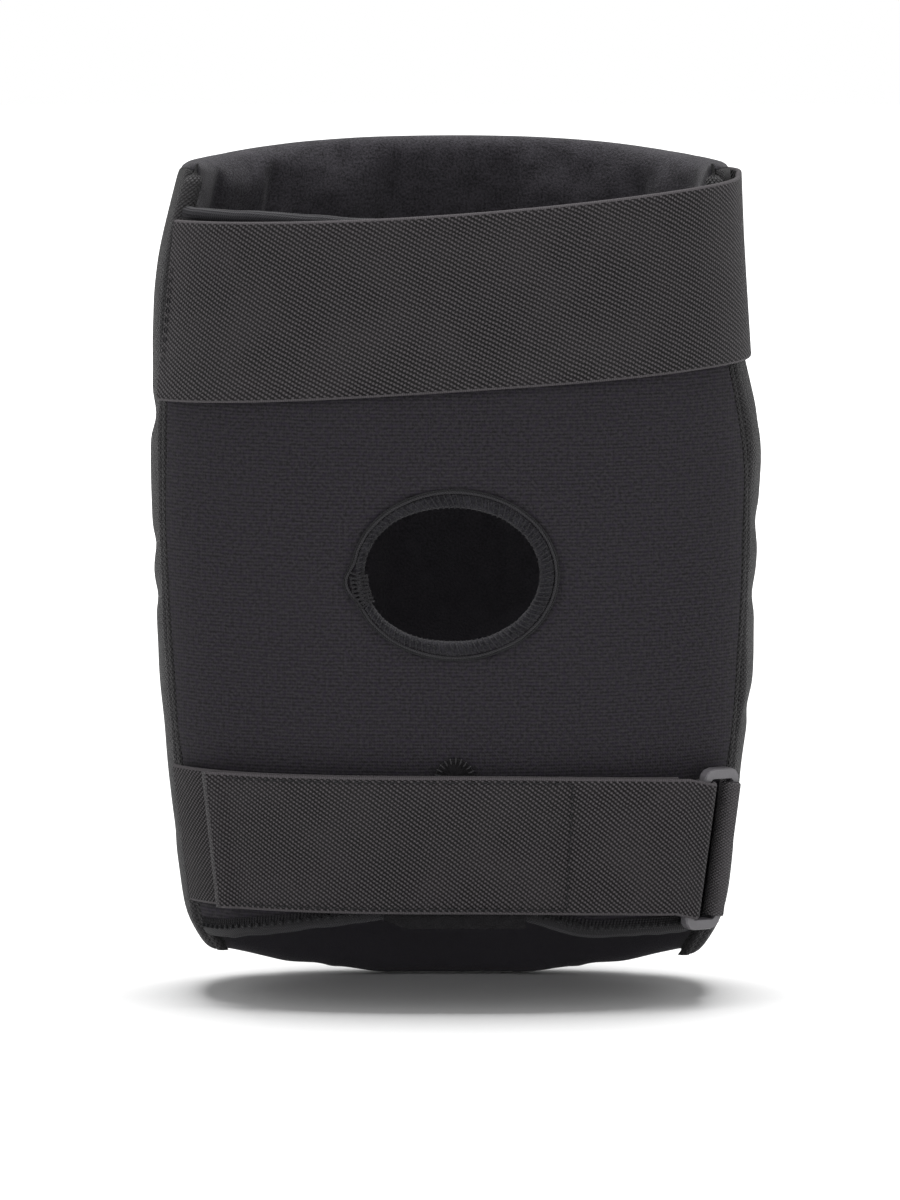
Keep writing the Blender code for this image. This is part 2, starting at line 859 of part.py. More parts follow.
def rivet_cutter():
    """Four shank holes through the cap and the cover."""
    holes = bmesh.new()
    for x, z in RIVET_PLACES:
        bmesh.ops.create_cone(
            holes,
            cap_ends=True,
            segments=14,
            radius1=RIVET_SHANK_RADIUS + RIVET_CLEARANCE,
            radius2=RIVET_SHANK_RADIUS + RIVET_CLEARANCE,
            depth=0.016,
            matrix=rivet_frame(x, z),
        )
    return add_cutter("rivet_cutter", holes)


def turned_mesh(name, profile, material):
    """A turned mesh from a profile of (radius, height) points that runs top to bottom."""
    outline = bmesh.new()
    corners = [outline.verts.new((radius, 0.0, height)) for radius, height in profile]
    for first, second in zip(corners, corners[1:]):
        outline.edges.new((first, second))
    mesh = bpy.data.meshes.new(name)
    outline.to_mesh(mesh)
    outline.free()
    mesh.materials.append(material_named(material))
    return mesh


def add_turned(name, mesh, frame):
    part = bpy.data.objects.new(name, mesh)
    part.matrix_world = frame
    PARTS.objects.link(part)
    screw = part.modifiers.new("turn", "SCREW")
    screw.steps = 12
    screw.render_steps = 12
    screw.use_merge_vertices = True
    screw.merge_threshold = 0.00005
    screw.use_smooth_shade = False


def rivets():
    washer_top = -(CAP_RIM_OFFSET + CAP_THICKNESS + CLEARANCE + SKIN + CLEARANCE)
    washer_low = washer_top - WASHER_THICKNESS
    flare_top = washer_low - LAYER_GAP
    flare_low = flare_top - RIVET_FLARE_HEIGHT
    rivet_profile = (
        (0.0, RIVET_HEAD_HEIGHT),
        (RIVET_HEAD_RADIUS * 0.6, RIVET_HEAD_HEIGHT * 0.85),
        (RIVET_HEAD_RADIUS, RIVET_HEAD_HEIGHT * 0.25),
        (RIVET_HEAD_RADIUS, 0.0),
        (RIVET_SHANK_RADIUS, 0.0),
        (RIVET_SHANK_RADIUS, flare_top),
        (RIVET_FLARE_RADIUS, flare_top),
        (RIVET_FLARE_RADIUS, flare_low),
        (0.0, flare_low),
    )
    bore = RIVET_SHANK_RADIUS + RIVET_CLEARANCE
    washer_profile = (
        (bore, washer_top),
        (WASHER_RADIUS, washer_top),
        (WASHER_RADIUS, washer_low),
        (bore, washer_low),
        (bore, washer_top),
    )
    rivet_mesh = turned_mesh("cap_rivet", rivet_profile, "rivet_steel")
    washer_mesh = turned_mesh("cap_washer", washer_profile, "rivet_steel")
    for number, (x, z) in enumerate(RIVET_PLACES, start=1):
        add_turned(f"cap_rivet_{number}", rivet_mesh, rivet_frame(x, z))
        add_turned(f"cap_washer_{number}", washer_mesh, rivet_frame(x, z))


# ------------------------------------------------------------------ assembly

clear_scene()
PARTS = new_collection("knee_guard")
CUTTERS = new_collection("cutters")

thigh_half()
shin_cover = shin_half()
flex_gussets()
back_panel()
hole_binding()
hems()
seam_pipings()
stitch_patch()
upper_straps()
upper_tapes()
strap_ring()
ring_tab()
lower_straps()
tail_tapes()
shank_holes = rivet_cutter()
knee_cap(shank_holes)
cut(shin_cover, shank_holes)
rivets()
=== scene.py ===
"""Looks of a padded pull-on knee guard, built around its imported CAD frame.

A place on the guard is a turn in degrees (0 at +X, -90 at the back, 90 at the front), a height in
metres and an offset outwards from the sleeve's skin. Every fabric piece has a UV map in metres, so
a weave has its real pitch whichever way its piece bends.
"""

import json
import math

import bmesh
import bpy
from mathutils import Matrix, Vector
from mathutils.noise import noise


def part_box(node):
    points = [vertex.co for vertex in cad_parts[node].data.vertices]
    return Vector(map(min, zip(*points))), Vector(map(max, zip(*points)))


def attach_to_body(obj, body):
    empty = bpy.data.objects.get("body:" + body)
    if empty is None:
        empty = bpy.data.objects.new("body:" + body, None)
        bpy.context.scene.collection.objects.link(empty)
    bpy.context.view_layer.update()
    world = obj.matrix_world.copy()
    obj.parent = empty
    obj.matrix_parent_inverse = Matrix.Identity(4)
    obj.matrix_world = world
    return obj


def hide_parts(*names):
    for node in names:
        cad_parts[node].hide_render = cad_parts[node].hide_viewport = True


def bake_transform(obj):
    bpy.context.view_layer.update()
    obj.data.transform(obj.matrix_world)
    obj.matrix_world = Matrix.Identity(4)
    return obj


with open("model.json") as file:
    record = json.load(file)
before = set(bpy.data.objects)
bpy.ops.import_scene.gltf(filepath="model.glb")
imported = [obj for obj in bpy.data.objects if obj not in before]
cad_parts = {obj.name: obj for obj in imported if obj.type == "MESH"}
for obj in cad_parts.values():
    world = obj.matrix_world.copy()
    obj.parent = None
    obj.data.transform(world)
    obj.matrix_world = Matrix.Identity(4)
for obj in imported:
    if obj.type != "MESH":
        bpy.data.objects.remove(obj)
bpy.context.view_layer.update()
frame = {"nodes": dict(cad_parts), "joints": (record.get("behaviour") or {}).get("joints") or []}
UP = Vector((0.0, 0.0, 1.0))

# ------------------------------------------------------------------ sizes taken from the frame

JOINTS = {joint["name"]: joint for joint in frame["joints"]}
COVER_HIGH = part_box("thigh_cover")[1]
PANEL_LOW, PANEL_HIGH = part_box("back_panel")
HEIGHT = COVER_HIGH.z
HALF_WIDTH = COVER_HIGH.x
MIDDLE_Y = (COVER_HIGH.y + PANEL_LOW.y) / 2
DEPTH_RATIO = (COVER_HIGH.y - PANEL_LOW.y) / 2 / HALF_WIDTH

# The sleeve's outline, as shares of its half width and height
WIDEST_Z = 0.632 * HEIGHT
TOP_TAPER = 0.113 * HALF_WIDTH
BOTTOM_TAPER = 0.167 * HALF_WIDTH
BOTTOM_ROLL = 0.083 * HALF_WIDTH
ROLL_TOP = 0.103 * HEIGHT
ROLL_SPAN = 0.086 * HEIGHT
STRAP_PULL = 0.054 * HALF_WIDTH
PULL_Z = 0.805 * HEIGHT
PULL_SPAN = 0.193 * HEIGHT
SQUARENESS = 2.5
SEAM_TURN = 20.0
SEAM_GAP_TURN = 2.8
TOP_ARCH = 0.0045
SIDE_TOP_DROP = 0.0010
SIDE_BOTTOM_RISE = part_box("seam_piping_left")[0].z
SIDE_BOTTOM_CURVE = 0.6
FRONT_FOOT_ARCH = 0.0019
FRONT_FOOT_ARCH_X = 0.036
FRONT_FOOT_ARCH_SPAN = 0.016
CORNER_DROP_LEFT = 0.0012
CORNER_DROP_RIGHT = 0.0026
FLAT_FRONT_Y = MIDDLE_Y + 0.0345
SEAM_Y = MIDDLE_Y - 0.020

# Padding
PAD_DEPTH_SEAM = 0.0055
PAD_DEPTH_FRONT = 0.0130
QUILT_TURNS = (44.5, 77.5, 100.5, 135.5)
QUILT_HALF_TURN = 3.2
QUILT_DEPTH = 0.0034
QUILT_STITCH_DEPTH = 0.0054
# Level creases and seams, at shares of the height
CREASES_RIGHT = (0.555, 0.471, 0.341)
CREASES_LEFT = (0.687, 0.529, 0.469)
CREASES_FRONT = (0.677, 0.197)
CREASE_DEPTH_WING = 0.0016
CREASE_DEPTH_FRONT = 0.0030
LINING_CREASE_X = (-0.0187, -0.003, 0.015)
LINING_CREASE_DEPTH = 0.0009
# Swellings of the wings: height, reach up and down, depth
SWELLINGS_RIGHT = ((0.158, 0.022, 0.0016), (0.085, 0.020, 0.0012))
SWELLINGS_LEFT = ((0.200, 0.036, 0.0022),)
FOOT_SWELLING = 0.0012
PAD_INSET = 0.0005
COVER_THICKNESS = 0.0011
PUFF_LIMIT = 0.0017
PUFF_UNDER_STRAP = 0.0006
PUFF_TRAVEL = 0.0035
WRINKLE_DEPTH = 0.0003

# Neoprene back
PANEL_THICKNESS = 0.0030
PANEL_TOP = PANEL_HIGH.z
HEM_RADIUS = 0.0019
PIPING_RADIUS = 0.0016
HOLE_LOW, HOLE_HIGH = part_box("hole_binding")
HOLE_CENTRE = (HOLE_LOW + HOLE_HIGH) / 2
BAND_RADIUS = 0.0020
BAND_SHIFT_LEFT = 0.0008
BAND_NARROWING_LEFT = 0.40
HOLE_HALF_WIDTH = (HOLE_HIGH.x - HOLE_LOW.x) / 2 - BAND_RADIUS
HOLE_HALF_HEIGHT = (HOLE_HIGH.z - HOLE_LOW.z) / 2 - BAND_RADIUS
HEM_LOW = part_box("bottom_hem")[0].z
HEM_LEFT = HEM_LOW - 0.0010
HEM_RIGHT = HEM_LOW + 0.0009
HEM_MIDDLE = HEM_LOW + 0.0073
HEM_LEFT_X = -0.066
HEM_MIDDLE_X = -0.015
HEM_HEIGHT = 0.0056

# Straps
STRAP_INNER = 0.0011
STRAP_THICKNESS = 0.0015
STRAP_EDGE = 0.0008
STRAP_MIDDLE = STRAP_INNER + STRAP_THICKNESS / 2
END_LOW, END_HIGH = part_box("upper_strap_end")
UPPER_WIDTH = END_HIGH.z - END_LOW.z
UPPER_SAG = 0.0015
UPPER_NECK = 0.028
UPPER_LEAN = 0.045
UPPER_CENTRE_RIGHT = (END_HIGH.z + END_LOW.z) / 2
UPPER_CENTRE_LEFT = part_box("upper_strap")[0].z + UPPER_WIDTH / 2
UPPER_FIRST_TURN = -157.5
UPPER_PEEL_TURN = -2.0
UPPER_END_TURN = 56.0
LOWER_WIDTH = 0.0380
LOWER_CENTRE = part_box("lower_strap")[1].z - LOWER_WIDTH / 2
LOWER_DROP = 0.0036
LOWER_FIRST_TURN = -157.4
LOWER_LAST_TURN = -45.8
TAIL_FIRST_TURN = -45.0
TAIL_SEWN_TURN = -72.0
TAIL_END_TURN = -139.6
TAIL_FOLD_RISE = 0.0014
TAPE_THICKNESS = 0.0009
LAYER_GAP = 0.0003
TAIL_OFFSET = STRAP_INNER + 1.5 * STRAP_THICKNESS + TAPE_THICKNESS + 2 * LAYER_GAP

# Ring, whose two bars are the hinge lines of the ring and of the strap's tail
TAB_BAR = Vector(JOINTS["ring_swing"]["pos_m"])
STRAP_BAR = Vector(JOINTS["lower_strap_peel"]["pos_m"])
BAR_WAY = Vector(JOINTS["ring_swing"]["axis"]).normalized()
RING_WAY = (STRAP_BAR - TAB_BAR).normalized()
RING_OUT = BAR_WAY.cross(RING_WAY).normalized()
RING_WIDTH = (STRAP_BAR - TAB_BAR).length
RING_LENGTH = 0.0420
RING_CORNER = 0.0022
BAR_RADIUS = 0.0015
TAB_WIDTH = 0.0372
TAB_THICKNESS = 0.0010

# Hard cap
CAP_LOW, CAP_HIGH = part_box("knee_cap")
CAP_CENTRE_Z = (CAP_LOW.z + CAP_HIGH.z) / 2
CAP_HALF_WIDTH = (CAP_HIGH.x - CAP_LOW.x) / 2
CAP_HALF_HEIGHT = (CAP_HIGH.z - CAP_LOW.z) / 2
CAP_THICKNESS = 0.0025
CAP_RIM_OFFSET = 0.0005
CAP_DOME = 0.0095
CAP_FLANGE = 0.76
CAP_ROUNDNESS = 0.86

# What a piece belongs to: a body, or a pair of bodies with the stretch of fabric between them where the
# knee bends
FLEX_LOW = Vector((0.0, 0.0, 0.074))
FLEX_HIGH = Vector((0.0, 0.0, 0.164))
KNEE = ("shin", "thigh", FLEX_LOW, FLEX_HIGH)


# ------------------------------------------------------------------ the sleeve's surface


def smooth_step(value):
    share = min(1.0, max(0.0, value))
    return share * share * (3 - 2 * share)


def near(value, centre, reach):
    """1 at the centre, falling smoothly to 0 at that reach from it."""
    return 1.0 - smooth_step(abs(value - centre) / reach)


def spread(first, last, steps):
    return [first + (last - first) * step / steps for step in range(steps + 1)]


def round_angles(count):
    return [2 * math.pi * number / count for number in range(count)]


def half_width(z):
    if z > WIDEST_Z:
        return HALF_WIDTH - TOP_TAPER * ((z - WIDEST_Z) / (HEIGHT - WIDEST_Z)) ** 2
    roll = BOTTOM_ROLL * smooth_step((ROLL_TOP - z) / ROLL_SPAN)
    return HALF_WIDTH - BOTTOM_TAPER * ((WIDEST_Z - z) / WIDEST_Z) ** 2 - roll


def pulled_width(side, z):
    """The half width, drawn in on the right by the upper strap."""
    if side < 0:
        return half_width(z)
    return half_width(z) - STRAP_PULL * near(z, PULL_Z, PULL_SPAN)


def signed_power(value, power):
    return math.copysign(abs(value) ** power, value)


def skin_normal(x, y, wide, deep):
    across = signed_power(x / wide, SQUARENESS - 1) / wide
    along = signed_power(y / deep, SQUARENESS - 1) / deep
    return Vector((across, along, 0.0)).normalized()


def sleeve(turn, z, offset=0.0):
    angle = math.radians(turn)
    wide = pulled_width(math.cos(angle), z)
    deep = half_width(z) * DEPTH_RATIO
    x = wide * signed_power(math.cos(angle), 2 / SQUARENESS)
    y = deep * signed_power(math.sin(angle), 2 / SQUARENESS)
    return Vector((x, y + MIDDLE_Y, z)) + skin_normal(x, y, wide, deep) * offset


def outward(turn, z, offset=0.0):
    return (sleeve(turn, z, offset + 0.001) - sleeve(turn, z, offset)).normalized()


def face_point(x, z, offset, side=-1):
    """The point of the back (side -1) or front (side 1) of the sleeve at x and z."""
    wide = pulled_width(x, z)
    deep = half_width(z) * DEPTH_RATIO
    y = side * deep * (1 - min(1.0, abs(x / wide)) ** SQUARENESS) ** (1 / SQUARENESS)
    return Vector((x, y + MIDDLE_Y, z)) + skin_normal(x, y, wide, deep) * offset


def turn_at(x, z):
    """The turn of the back of the sleeve at x and z."""
    share = min(1.0, abs(x) / pulled_width(x, z)) ** (SQUARENESS / 2)
    return -math.degrees(math.acos(math.copysign(share, x)))


def side_share(turn):
    """0 across the front, rising to 1 at the seams."""
    y = sleeve(turn, 0.0).y
    return min(1.0, max(0.0, (FLAT_FRONT_Y - y) / (FLAT_FRONT_Y - SEAM_Y)))


def top_edge(turn):
    arch = TOP_ARCH * (sleeve(turn, HEIGHT).x / HALF_WIDTH) ** 2
    return HEIGHT - arch - SIDE_TOP_DROP * side_share(turn)


def bottom_edge(turn):
    """The lower edge: flat in front, a little arched beside that, dropping again at the corners."""
    share = side_share(turn)
    across = sleeve(turn, 0.0).x
    arch = FRONT_FOOT_ARCH * near(abs(across), FRONT_FOOT_ARCH_X, FRONT_FOOT_ARCH_SPAN)
    corner = CORNER_DROP_RIGHT if across > 0 else CORNER_DROP_LEFT
    rise = SIDE_BOTTOM_RISE * share**SIDE_BOTTOM_CURVE
    return rise + arch * (1 - share) - corner * smooth_step((share - 0.5) / 0.4)


def pad_depth(turn):
    share = smooth_step((90.0 + SEAM_TURN - abs(turn - 90.0)) / (30.0 + SEAM_TURN))
    return PAD_DEPTH_SEAM + (PAD_DEPTH_FRONT - PAD_DEPTH_SEAM) * share


def hem_low(turn):
    """The height of the back's lower edge: a straight rise from the left, a drop to the right."""
    x = sleeve(turn, HEM_MIDDLE).x
    if x < 0:
        rise = min(1.0, max(0.0, (x - HEM_LEFT_X) / (HEM_MIDDLE_X - HEM_LEFT_X)))
        return HEM_LEFT + (HEM_MIDDLE - HEM_LEFT) * rise
    return HEM_RIGHT + (HEM_MIDDLE - HEM_RIGHT) * near(x, 0.010, 0.030)


def upper_centre(turn):
    """The height of the upper strap's middle, which climbs to the right and sags on the way."""
    if turn > UPPER_PEEL_TURN:
        return UPPER_CENTRE_RIGHT
    share = (sleeve(turn, UPPER_CENTRE_LEFT).x + HALF_WIDTH) / (2 * HALF_WIDTH)
    sag = UPPER_SAG * 4 * share * (1 - share)
    return UPPER_CENTRE_LEFT + (UPPER_CENTRE_RIGHT - UPPER_CENTRE_LEFT) * share - sag


def lower_centre(turn):
    share = max(0.0, sleeve(turn, LOWER_CENTRE).x / HALF_WIDTH)
    return LOWER_CENTRE - LOWER_DROP * share**2


# ------------------------------------------------------------------ mesh building

# Share of a stitch's length, its size there and how far it stands up, both as shares of its radius
STITCH_FORM = ((0.0, 0.5, -0.5), (0.12, 0.9, 0.3), (0.5, 1.0, 0.6), (0.88, 0.9, 0.3), (1.0, 0.5, -0.5))


class Shape:
    """Rings of points joined into closed shells. Several shells can share one object."""

    def __init__(self):
        self.vertices = []
        self.faces = []
        self.corners = []

    def add(self, rings, uv, closed=False):
        """A tube through the rings, capped at both ends unless it closes on itself."""
        base = len(self.vertices)
        count, sides = len(rings), len(rings[0])
        self.vertices += [point for ring in rings for point in ring]
        for i in range(count if closed else count - 1):
            for j in range(sides):
                quad = ((i, j), (i + 1, j), (i + 1, j + 1), (i, j + 1))
                self.faces.append([base + (a % count) * sides + b % sides for a, b in quad])
                self.corners += [uv(a, b) for a, b in quad]
        if closed:
            return
        for j in range(sides // 2 - 1):
            strip = (j, j + 1, sides - 2 - j, sides - 1 - j)
            self.faces.append([base + b for b in strip])
            self.corners += [uv(0, b) for b in strip]
            self.faces.append([base + (count - 1) * sides + b for b in reversed(strip)])
            self.corners += [uv(count - 1, b) for b in reversed(strip)]

    def finish(self, name, material, sharp=50.0, subdivide=0):
        """The object, with its faces turned outwards and its edges sharp above that angle."""
        mesh = bpy.data.meshes.new(name)
        mesh.from_pydata(self.vertices, [], self.faces)
        layer = mesh.uv_layers.new(name="UVMap")
        layer.data.foreach_set("uv", [value for corner in self.corners for value in corner])
        solid = bmesh.new()
        solid.from_mesh(mesh)
        if solid.calc_volume(signed=True) < 0:
            bmesh.ops.reverse_faces(solid, faces=solid.faces[:])
        solid.to_mesh(mesh)
        solid.free()
        mesh.materials.append(material)
        piece = bpy.data.objects.new(name, mesh)
        bpy.context.scene.collection.objects.link(piece)
        if subdivide:
            smoother = piece.modifiers.new("smoother", "SUBSURF")
            smoother.levels = subdivide
            smoother.render_levels = subdivide
            piece.data = evaluated_mesh(piece)
            piece.modifiers.clear()
            piece.data.name = name
        piece.data.shade_smooth()
        piece.data.set_sharp_from_angle(angle=math.radians(sharp))
        return piece


def evaluated_mesh(piece):
    bpy.context.view_layer.update()
    graph = bpy.context.evaluated_depsgraph_get()
    return bpy.data.meshes.new_from_object(piece.evaluated_get(graph))


def flat_profile(width, thickness, across):
    """Places (across, out, v) round a strap's section. v is the place across the strap."""
    radius = thickness / 2
    edge = []
    for reach in (math.radians(18.0), math.radians(52.0)):
        edge.append((width / 2 - radius * (1 - math.cos(reach)), radius * math.sin(reach)))
    middle = [(s, radius) for s in spread(width / 2 - radius, radius - width / 2, across)]
    top = edge + middle + [(-s, t) for s, t in reversed(edge)]
    both = top + [(s, -t) for s, t in reversed(top)]
    return [(s, t, s) for s, t in both], 0.0


def round_profile(radius, sides, flatness=1.0):
    """Places (across, out, v) round a cord's section. v is the way round it."""
    places = []
    for j in range(sides):
        angle = 2 * math.pi * (j + 0.5) / sides
        places.append((radius * math.cos(angle), radius * math.sin(angle) * flatness, radius * angle))
    return places, 2 * math.pi * radius


def path_lengths(points):
    lengths = [0.0]
    for first, second in zip(points, points[1:]):
        lengths.append(lengths[-1] + (second - first).length)
    return lengths


def sweep_into(shape, stations, profile, closed=False, swell=None, lift=None):
    """Sweeps a profile through stations (point, across, out)."""
    places, girth = profile
    lengths = path_lengths([point for point, _, _ in stations])
    rings = []
    for (point, across, out), length in zip(stations, lengths):
        ring = []
        for s, t, v in places:
            grown = swell(length, v) if swell else 1.0
            raised = lift(length, v) if lift else 0.0
            ring.append(point + across * s * grown + out * (t * grown + raised))
        rings.append(ring)
    lengths.append(lengths[-1] + lengths[-1] / (len(lengths) - 1))
    sides = len(places)
    shape.add(rings, lambda i, j: (lengths[i], places[j % sides][2] + girth * (j // sides)), closed)


def sweep(name, stations, profile, material, **options):
    shape = Shape()
    sweep_into(shape, stations, profile, **options)
    return shape.finish(name, material)


def ripple(pitch, amount, twist=0.0):
    """A swell that repeats along a sweep. With a twist, it winds round it."""
    return lambda length, v: 1.0 + amount * math.sin(length * 2 * math.pi / pitch + v * twist)


def waves(amount):
    """A lift that gives a strap's face slow waves."""
    return lambda length, v: amount * noise((length * 22.0, v * 16.0, amount * 1000.0))


def thread_into(shape, spots, radius):
    """A thread through spots (point, out) on a surface."""
    stations = []
    last = len(spots) - 1
    for i, (point, out) in enumerate(spots):
        along = (spots[min(i + 1, last)][0] - spots[max(i - 1, 0)][0]).normalized()
        across = along.cross(out).normalized()
        stations.append((point, across, across.cross(along).normalized()))
    sweep_into(shape, stations, round_profile(radius, 6))


def stitch_into(shape, start, end, out, radius):
    """One raised stitch whose ends sink into the fabric."""
    along = (end - start).normalized()
    across = along.cross(out).normalized()
    rings = []
    for share, size, rise in STITCH_FORM:
        centre = start.lerp(end, share) + out * radius * rise
        ring = []
        for j in range(6):
            angle = math.radians(60 * j + 30)
            ring.append(centre + (across * math.cos(angle) + out * math.sin(angle)) * radius * size)
        rings.append(ring)
    length = (end - start).length
    shape.add(rings, lambda i, j: (length * i / 4, radius * j))


def stitch_row(shape, place, first, last, pitch, radius, fill=0.68):
    """Stitches along place(t), which gives a point and the way out. The pitch is in t's unit."""
    count = max(1, int((last - first) / pitch))
    reach = pitch * fill / 2
    for number in range(count):
        t = first + (last - first) * (number + 0.5) / count
        stitch_into(shape, place(t - reach)[0], place(t + reach)[0], place(t)[1], radius)


def attach(piece, body, slot, *nodes):
    """Puts a piece on its body and hides the CAD nodes it replaces; given a pair of bodies, it only bakes
    the piece's place. The slot is not used.
    """
    if isinstance(body, str):
        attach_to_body(piece, body)
    else:
        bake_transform(piece)
    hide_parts(*nodes)


# ------------------------------------------------------------------ materials


class Nodes:
    """Adds shader nodes to a tree. Each method returns an output socket, except put and node."""

    def __init__(self, tree):
        self.tree = tree

    def put(self, socket, value):
        if isinstance(value, bpy.types.NodeSocket):
            self.tree.links.new(value, socket)
        else:
            socket.default_value = value

    def node(self, kind, inputs=None, **settings):
        node = self.tree.nodes.new("ShaderNode" + kind)
        for name, value in settings.items():
            setattr(node, name, value)
        for key, value in (inputs or {}).items():
            self.put(node.inputs[key], value)
        return node

    def math(self, operation, *values):
        return self.node("Math", dict(enumerate(values)), operation=operation).outputs[0]

    def add(self, first, second):
        return self.math("ADD", first, second)

    def times(self, value, factor, plus=None):
        if plus is None:
            return self.math("MULTIPLY", value, factor)
        return self.math("MULTIPLY_ADD", value, factor, plus)

    def weighted(self, first, first_weight, second, second_weight):
        return self.times(first, first_weight, self.times(second, second_weight))


class Paint(Nodes):
    """One material. Its finish method is called last and returns the material."""

    def __init__(self, name, specular=0.35):
        self.material = bpy.data.materials.new(name)
        self.material.use_nodes = True
        super().__init__(self.material.node_tree)
        self.shader = self.tree.nodes["Principled BSDF"]
        self.put(self.shader.inputs["Specular IOR Level"], specular)

    def uv(self):
        """The place on the piece, and its parts along and across it in metres."""
        place = self.node("UVMap").outputs[0]
        along, across, _ = self.node("SeparateXYZ", {0: place}).outputs
        return place, along, across

    def object_place(self):
        return self.node("TexCoord").outputs["Object"]

    def wave(self, place, pitch, phase=0.0):
        """A wave between 0 and 1 that repeats every pitch metres."""
        return self.times(self.math("SINE", self.times(place, 2 * math.pi / pitch, phase)), 0.5, 0.5)

    def noise(self, place, size, detail=2.0, roughness=0.5):
        """Noise between 0 and 1 whose grains are about that size in metres."""
        inputs = {"Vector": place, "Scale": 1.0 / size, "Detail": detail, "Roughness": roughness}
        return self.node("TexNoise", inputs).outputs["Fac"]

    def ramp(self, value, low, high):
        """The value spread from low..high to 0..1 and kept there."""
        inputs = {"Value": value, "From Min": low, "From Max": high}
        return self.node("MapRange", inputs, interpolation_type="SMOOTHSTEP").outputs["Result"]

    def blend(self, share, first, second):
        return self.node("Mix", {0: share, 2: first, 3: second}, data_type="FLOAT").outputs[0]

    def colour(self, share, first, second):
        inputs = {"Fac": share}
        for key, value in (("Color1", first), ("Color2", second)):
            inputs[key] = (*value, 1.0) if isinstance(value, tuple) else value
        return self.node("MixRGB", inputs).outputs["Color"]

    def tones(self, share, colour, dark, pale):
        """A colour between two brightnesses of itself."""
        return self.colour(share, scaled(colour, dark), scaled(colour, pale))

    def tint(self, base, share, amount, tinge):
        """The base with up to that amount of another colour in it."""
        return self.colour(self.times(share, amount), base, tinge)

    def worn_edges(self):
        """1 on sharp outer edges and 0 elsewhere."""
        return self.ramp(self.node("NewGeometry").outputs["Pointiness"], 0.53, 0.62)

    def finish(self, colour, roughness, height, depth, sheen=0.0, metallic=0.0):
        bump = self.node("Bump", {"Height": height, "Distance": depth, "Strength": 1.0})
        for name, value in (
            ("Base Color", colour),
            ("Roughness", roughness),
            ("Normal", bump.outputs[0]),
            ("Metallic", metallic),
            ("Sheen Weight", sheen),
            ("Sheen Roughness", 0.45),
            ("Coat Roughness", 0.3),
        ):
            self.put(self.shader.inputs[name], value)
        return self.material


def scaled(colour, factor):
    return tuple(min(1.0, value * factor) for value in colour)


def twill(name, colour, pitch, slope, half):
    """Woven elastic: diagonal ribs broken by knots, between two smooth edges."""
    paint = Paint(name, 0.15)
    place, u, v = paint.uv()
    sine, cosine = math.sin(math.radians(slope)), math.cos(math.radians(slope))
    wobble = paint.times(paint.math("SUBTRACT", paint.noise(place, 0.004), 0.5), pitch * 0.5)
    across = paint.times(v, cosine, paint.times(u, sine, wobble))
    along = paint.times(v, -sine, paint.times(u, cosine, 0.0))
    row = paint.math("FLOOR", paint.math("DIVIDE", across, pitch))
    ridge = paint.wave(across, pitch, -math.pi / 2)
    knot = paint.wave(paint.times(row, pitch * 0.37, along), pitch * 0.9)
    body = paint.times(ridge, paint.times(knot, 0.68, 0.32))
    rib = paint.wave(u, pitch * 0.5)
    is_edge = paint.ramp(paint.math("ABSOLUTE", v), half - STRAP_EDGE, half - STRAP_EDGE * 0.8)
    height = paint.blend(is_edge, body, paint.times(rib, 0.15, 0.42))
    fuzz = paint.noise(place, 0.0004, 3.0)
    shade = paint.add(paint.ramp(height, 0.12, 0.75), paint.times(fuzz, 0.8, -0.40))
    worn = paint.ramp(paint.noise(place, 0.02, 3.0), 0.35, 0.75)
    base = paint.tint(paint.tones(shade, colour, 0.05, 2.5), worn, 0.15, scaled(colour, 1.5))
    return paint.finish(base, paint.times(fuzz, 0.2, 0.62), height, 0.0005, sheen=0.03)


def jersey(name, colour):
    """Knitted face of neoprene: fine level ribs with a faint knit across them, and some lint."""
    paint = Paint(name, 0.12)
    place, u, v = paint.uv()
    ribs = paint.wave(paint.add(v, paint.times(paint.noise(place, 0.012), 0.0007)), 0.00095)
    loops = paint.wave(paint.add(u, paint.times(ribs, 0.0003)), 0.00075)
    height = paint.weighted(ribs, 0.7, loops, 0.3)
    fuzz = paint.noise(place, 0.0009, 3.0, 0.65)
    grain = paint.ramp(paint.weighted(height, 0.18, fuzz, 0.82), 0.32, 0.68)
    cloud = paint.noise(place, 0.03, 3.0)
    stained = paint.ramp(paint.noise(place, 0.0013, 2.0), 0.45, 0.65)
    violet = tuple(value * factor for value, factor in zip(colour, (1.1, 0.9, 1.45)))
    lint = paint.ramp(paint.noise(place, 0.0011, 1.0), 0.80, 0.86)
    base = paint.tint(paint.tones(grain, colour, 0.35, 1.75), cloud, 0.35, scaled(colour, 1.35))
    base = paint.tint(base, stained, 0.4, violet)
    base = paint.tint(base, lint, 0.35, scaled(colour, 5.0))
    return paint.finish(base, paint.times(fuzz, 0.15, 0.78), height, 0.00008, sheen=0.03)


def coarse_nylon(name, colour, pitch):
    """Thick plain weave: square bumps with the two thread ways alternating."""
    paint = Paint(name, 0.2)
    place, u, v = paint.uv()
    wobble = paint.times(paint.noise(place, 0.003), pitch * 0.6)
    first = paint.wave(paint.add(u, wobble), pitch)
    second = paint.wave(paint.add(v, wobble), pitch * 0.8)
    weave = paint.math("ABSOLUTE", paint.math("SUBTRACT", first, second))
    height = paint.add(paint.times(weave, 0.9), paint.times(paint.wave(v, pitch * 0.4), 0.3))
    fuzz = paint.noise(place, 0.0004, 3.0)
    scuff = paint.ramp(paint.noise(place, 0.012, 4.0, 0.65), 0.58, 0.75)
    base = paint.tones(paint.weighted(height, 0.6, fuzz, 0.4), colour, 0.4, 1.7)
    base = paint.tint(base, scuff, 0.3, scaled(colour, 2.6))
    return paint.finish(base, paint.times(fuzz, 0.2, 0.55), height, 0.0005, sheen=0.04)


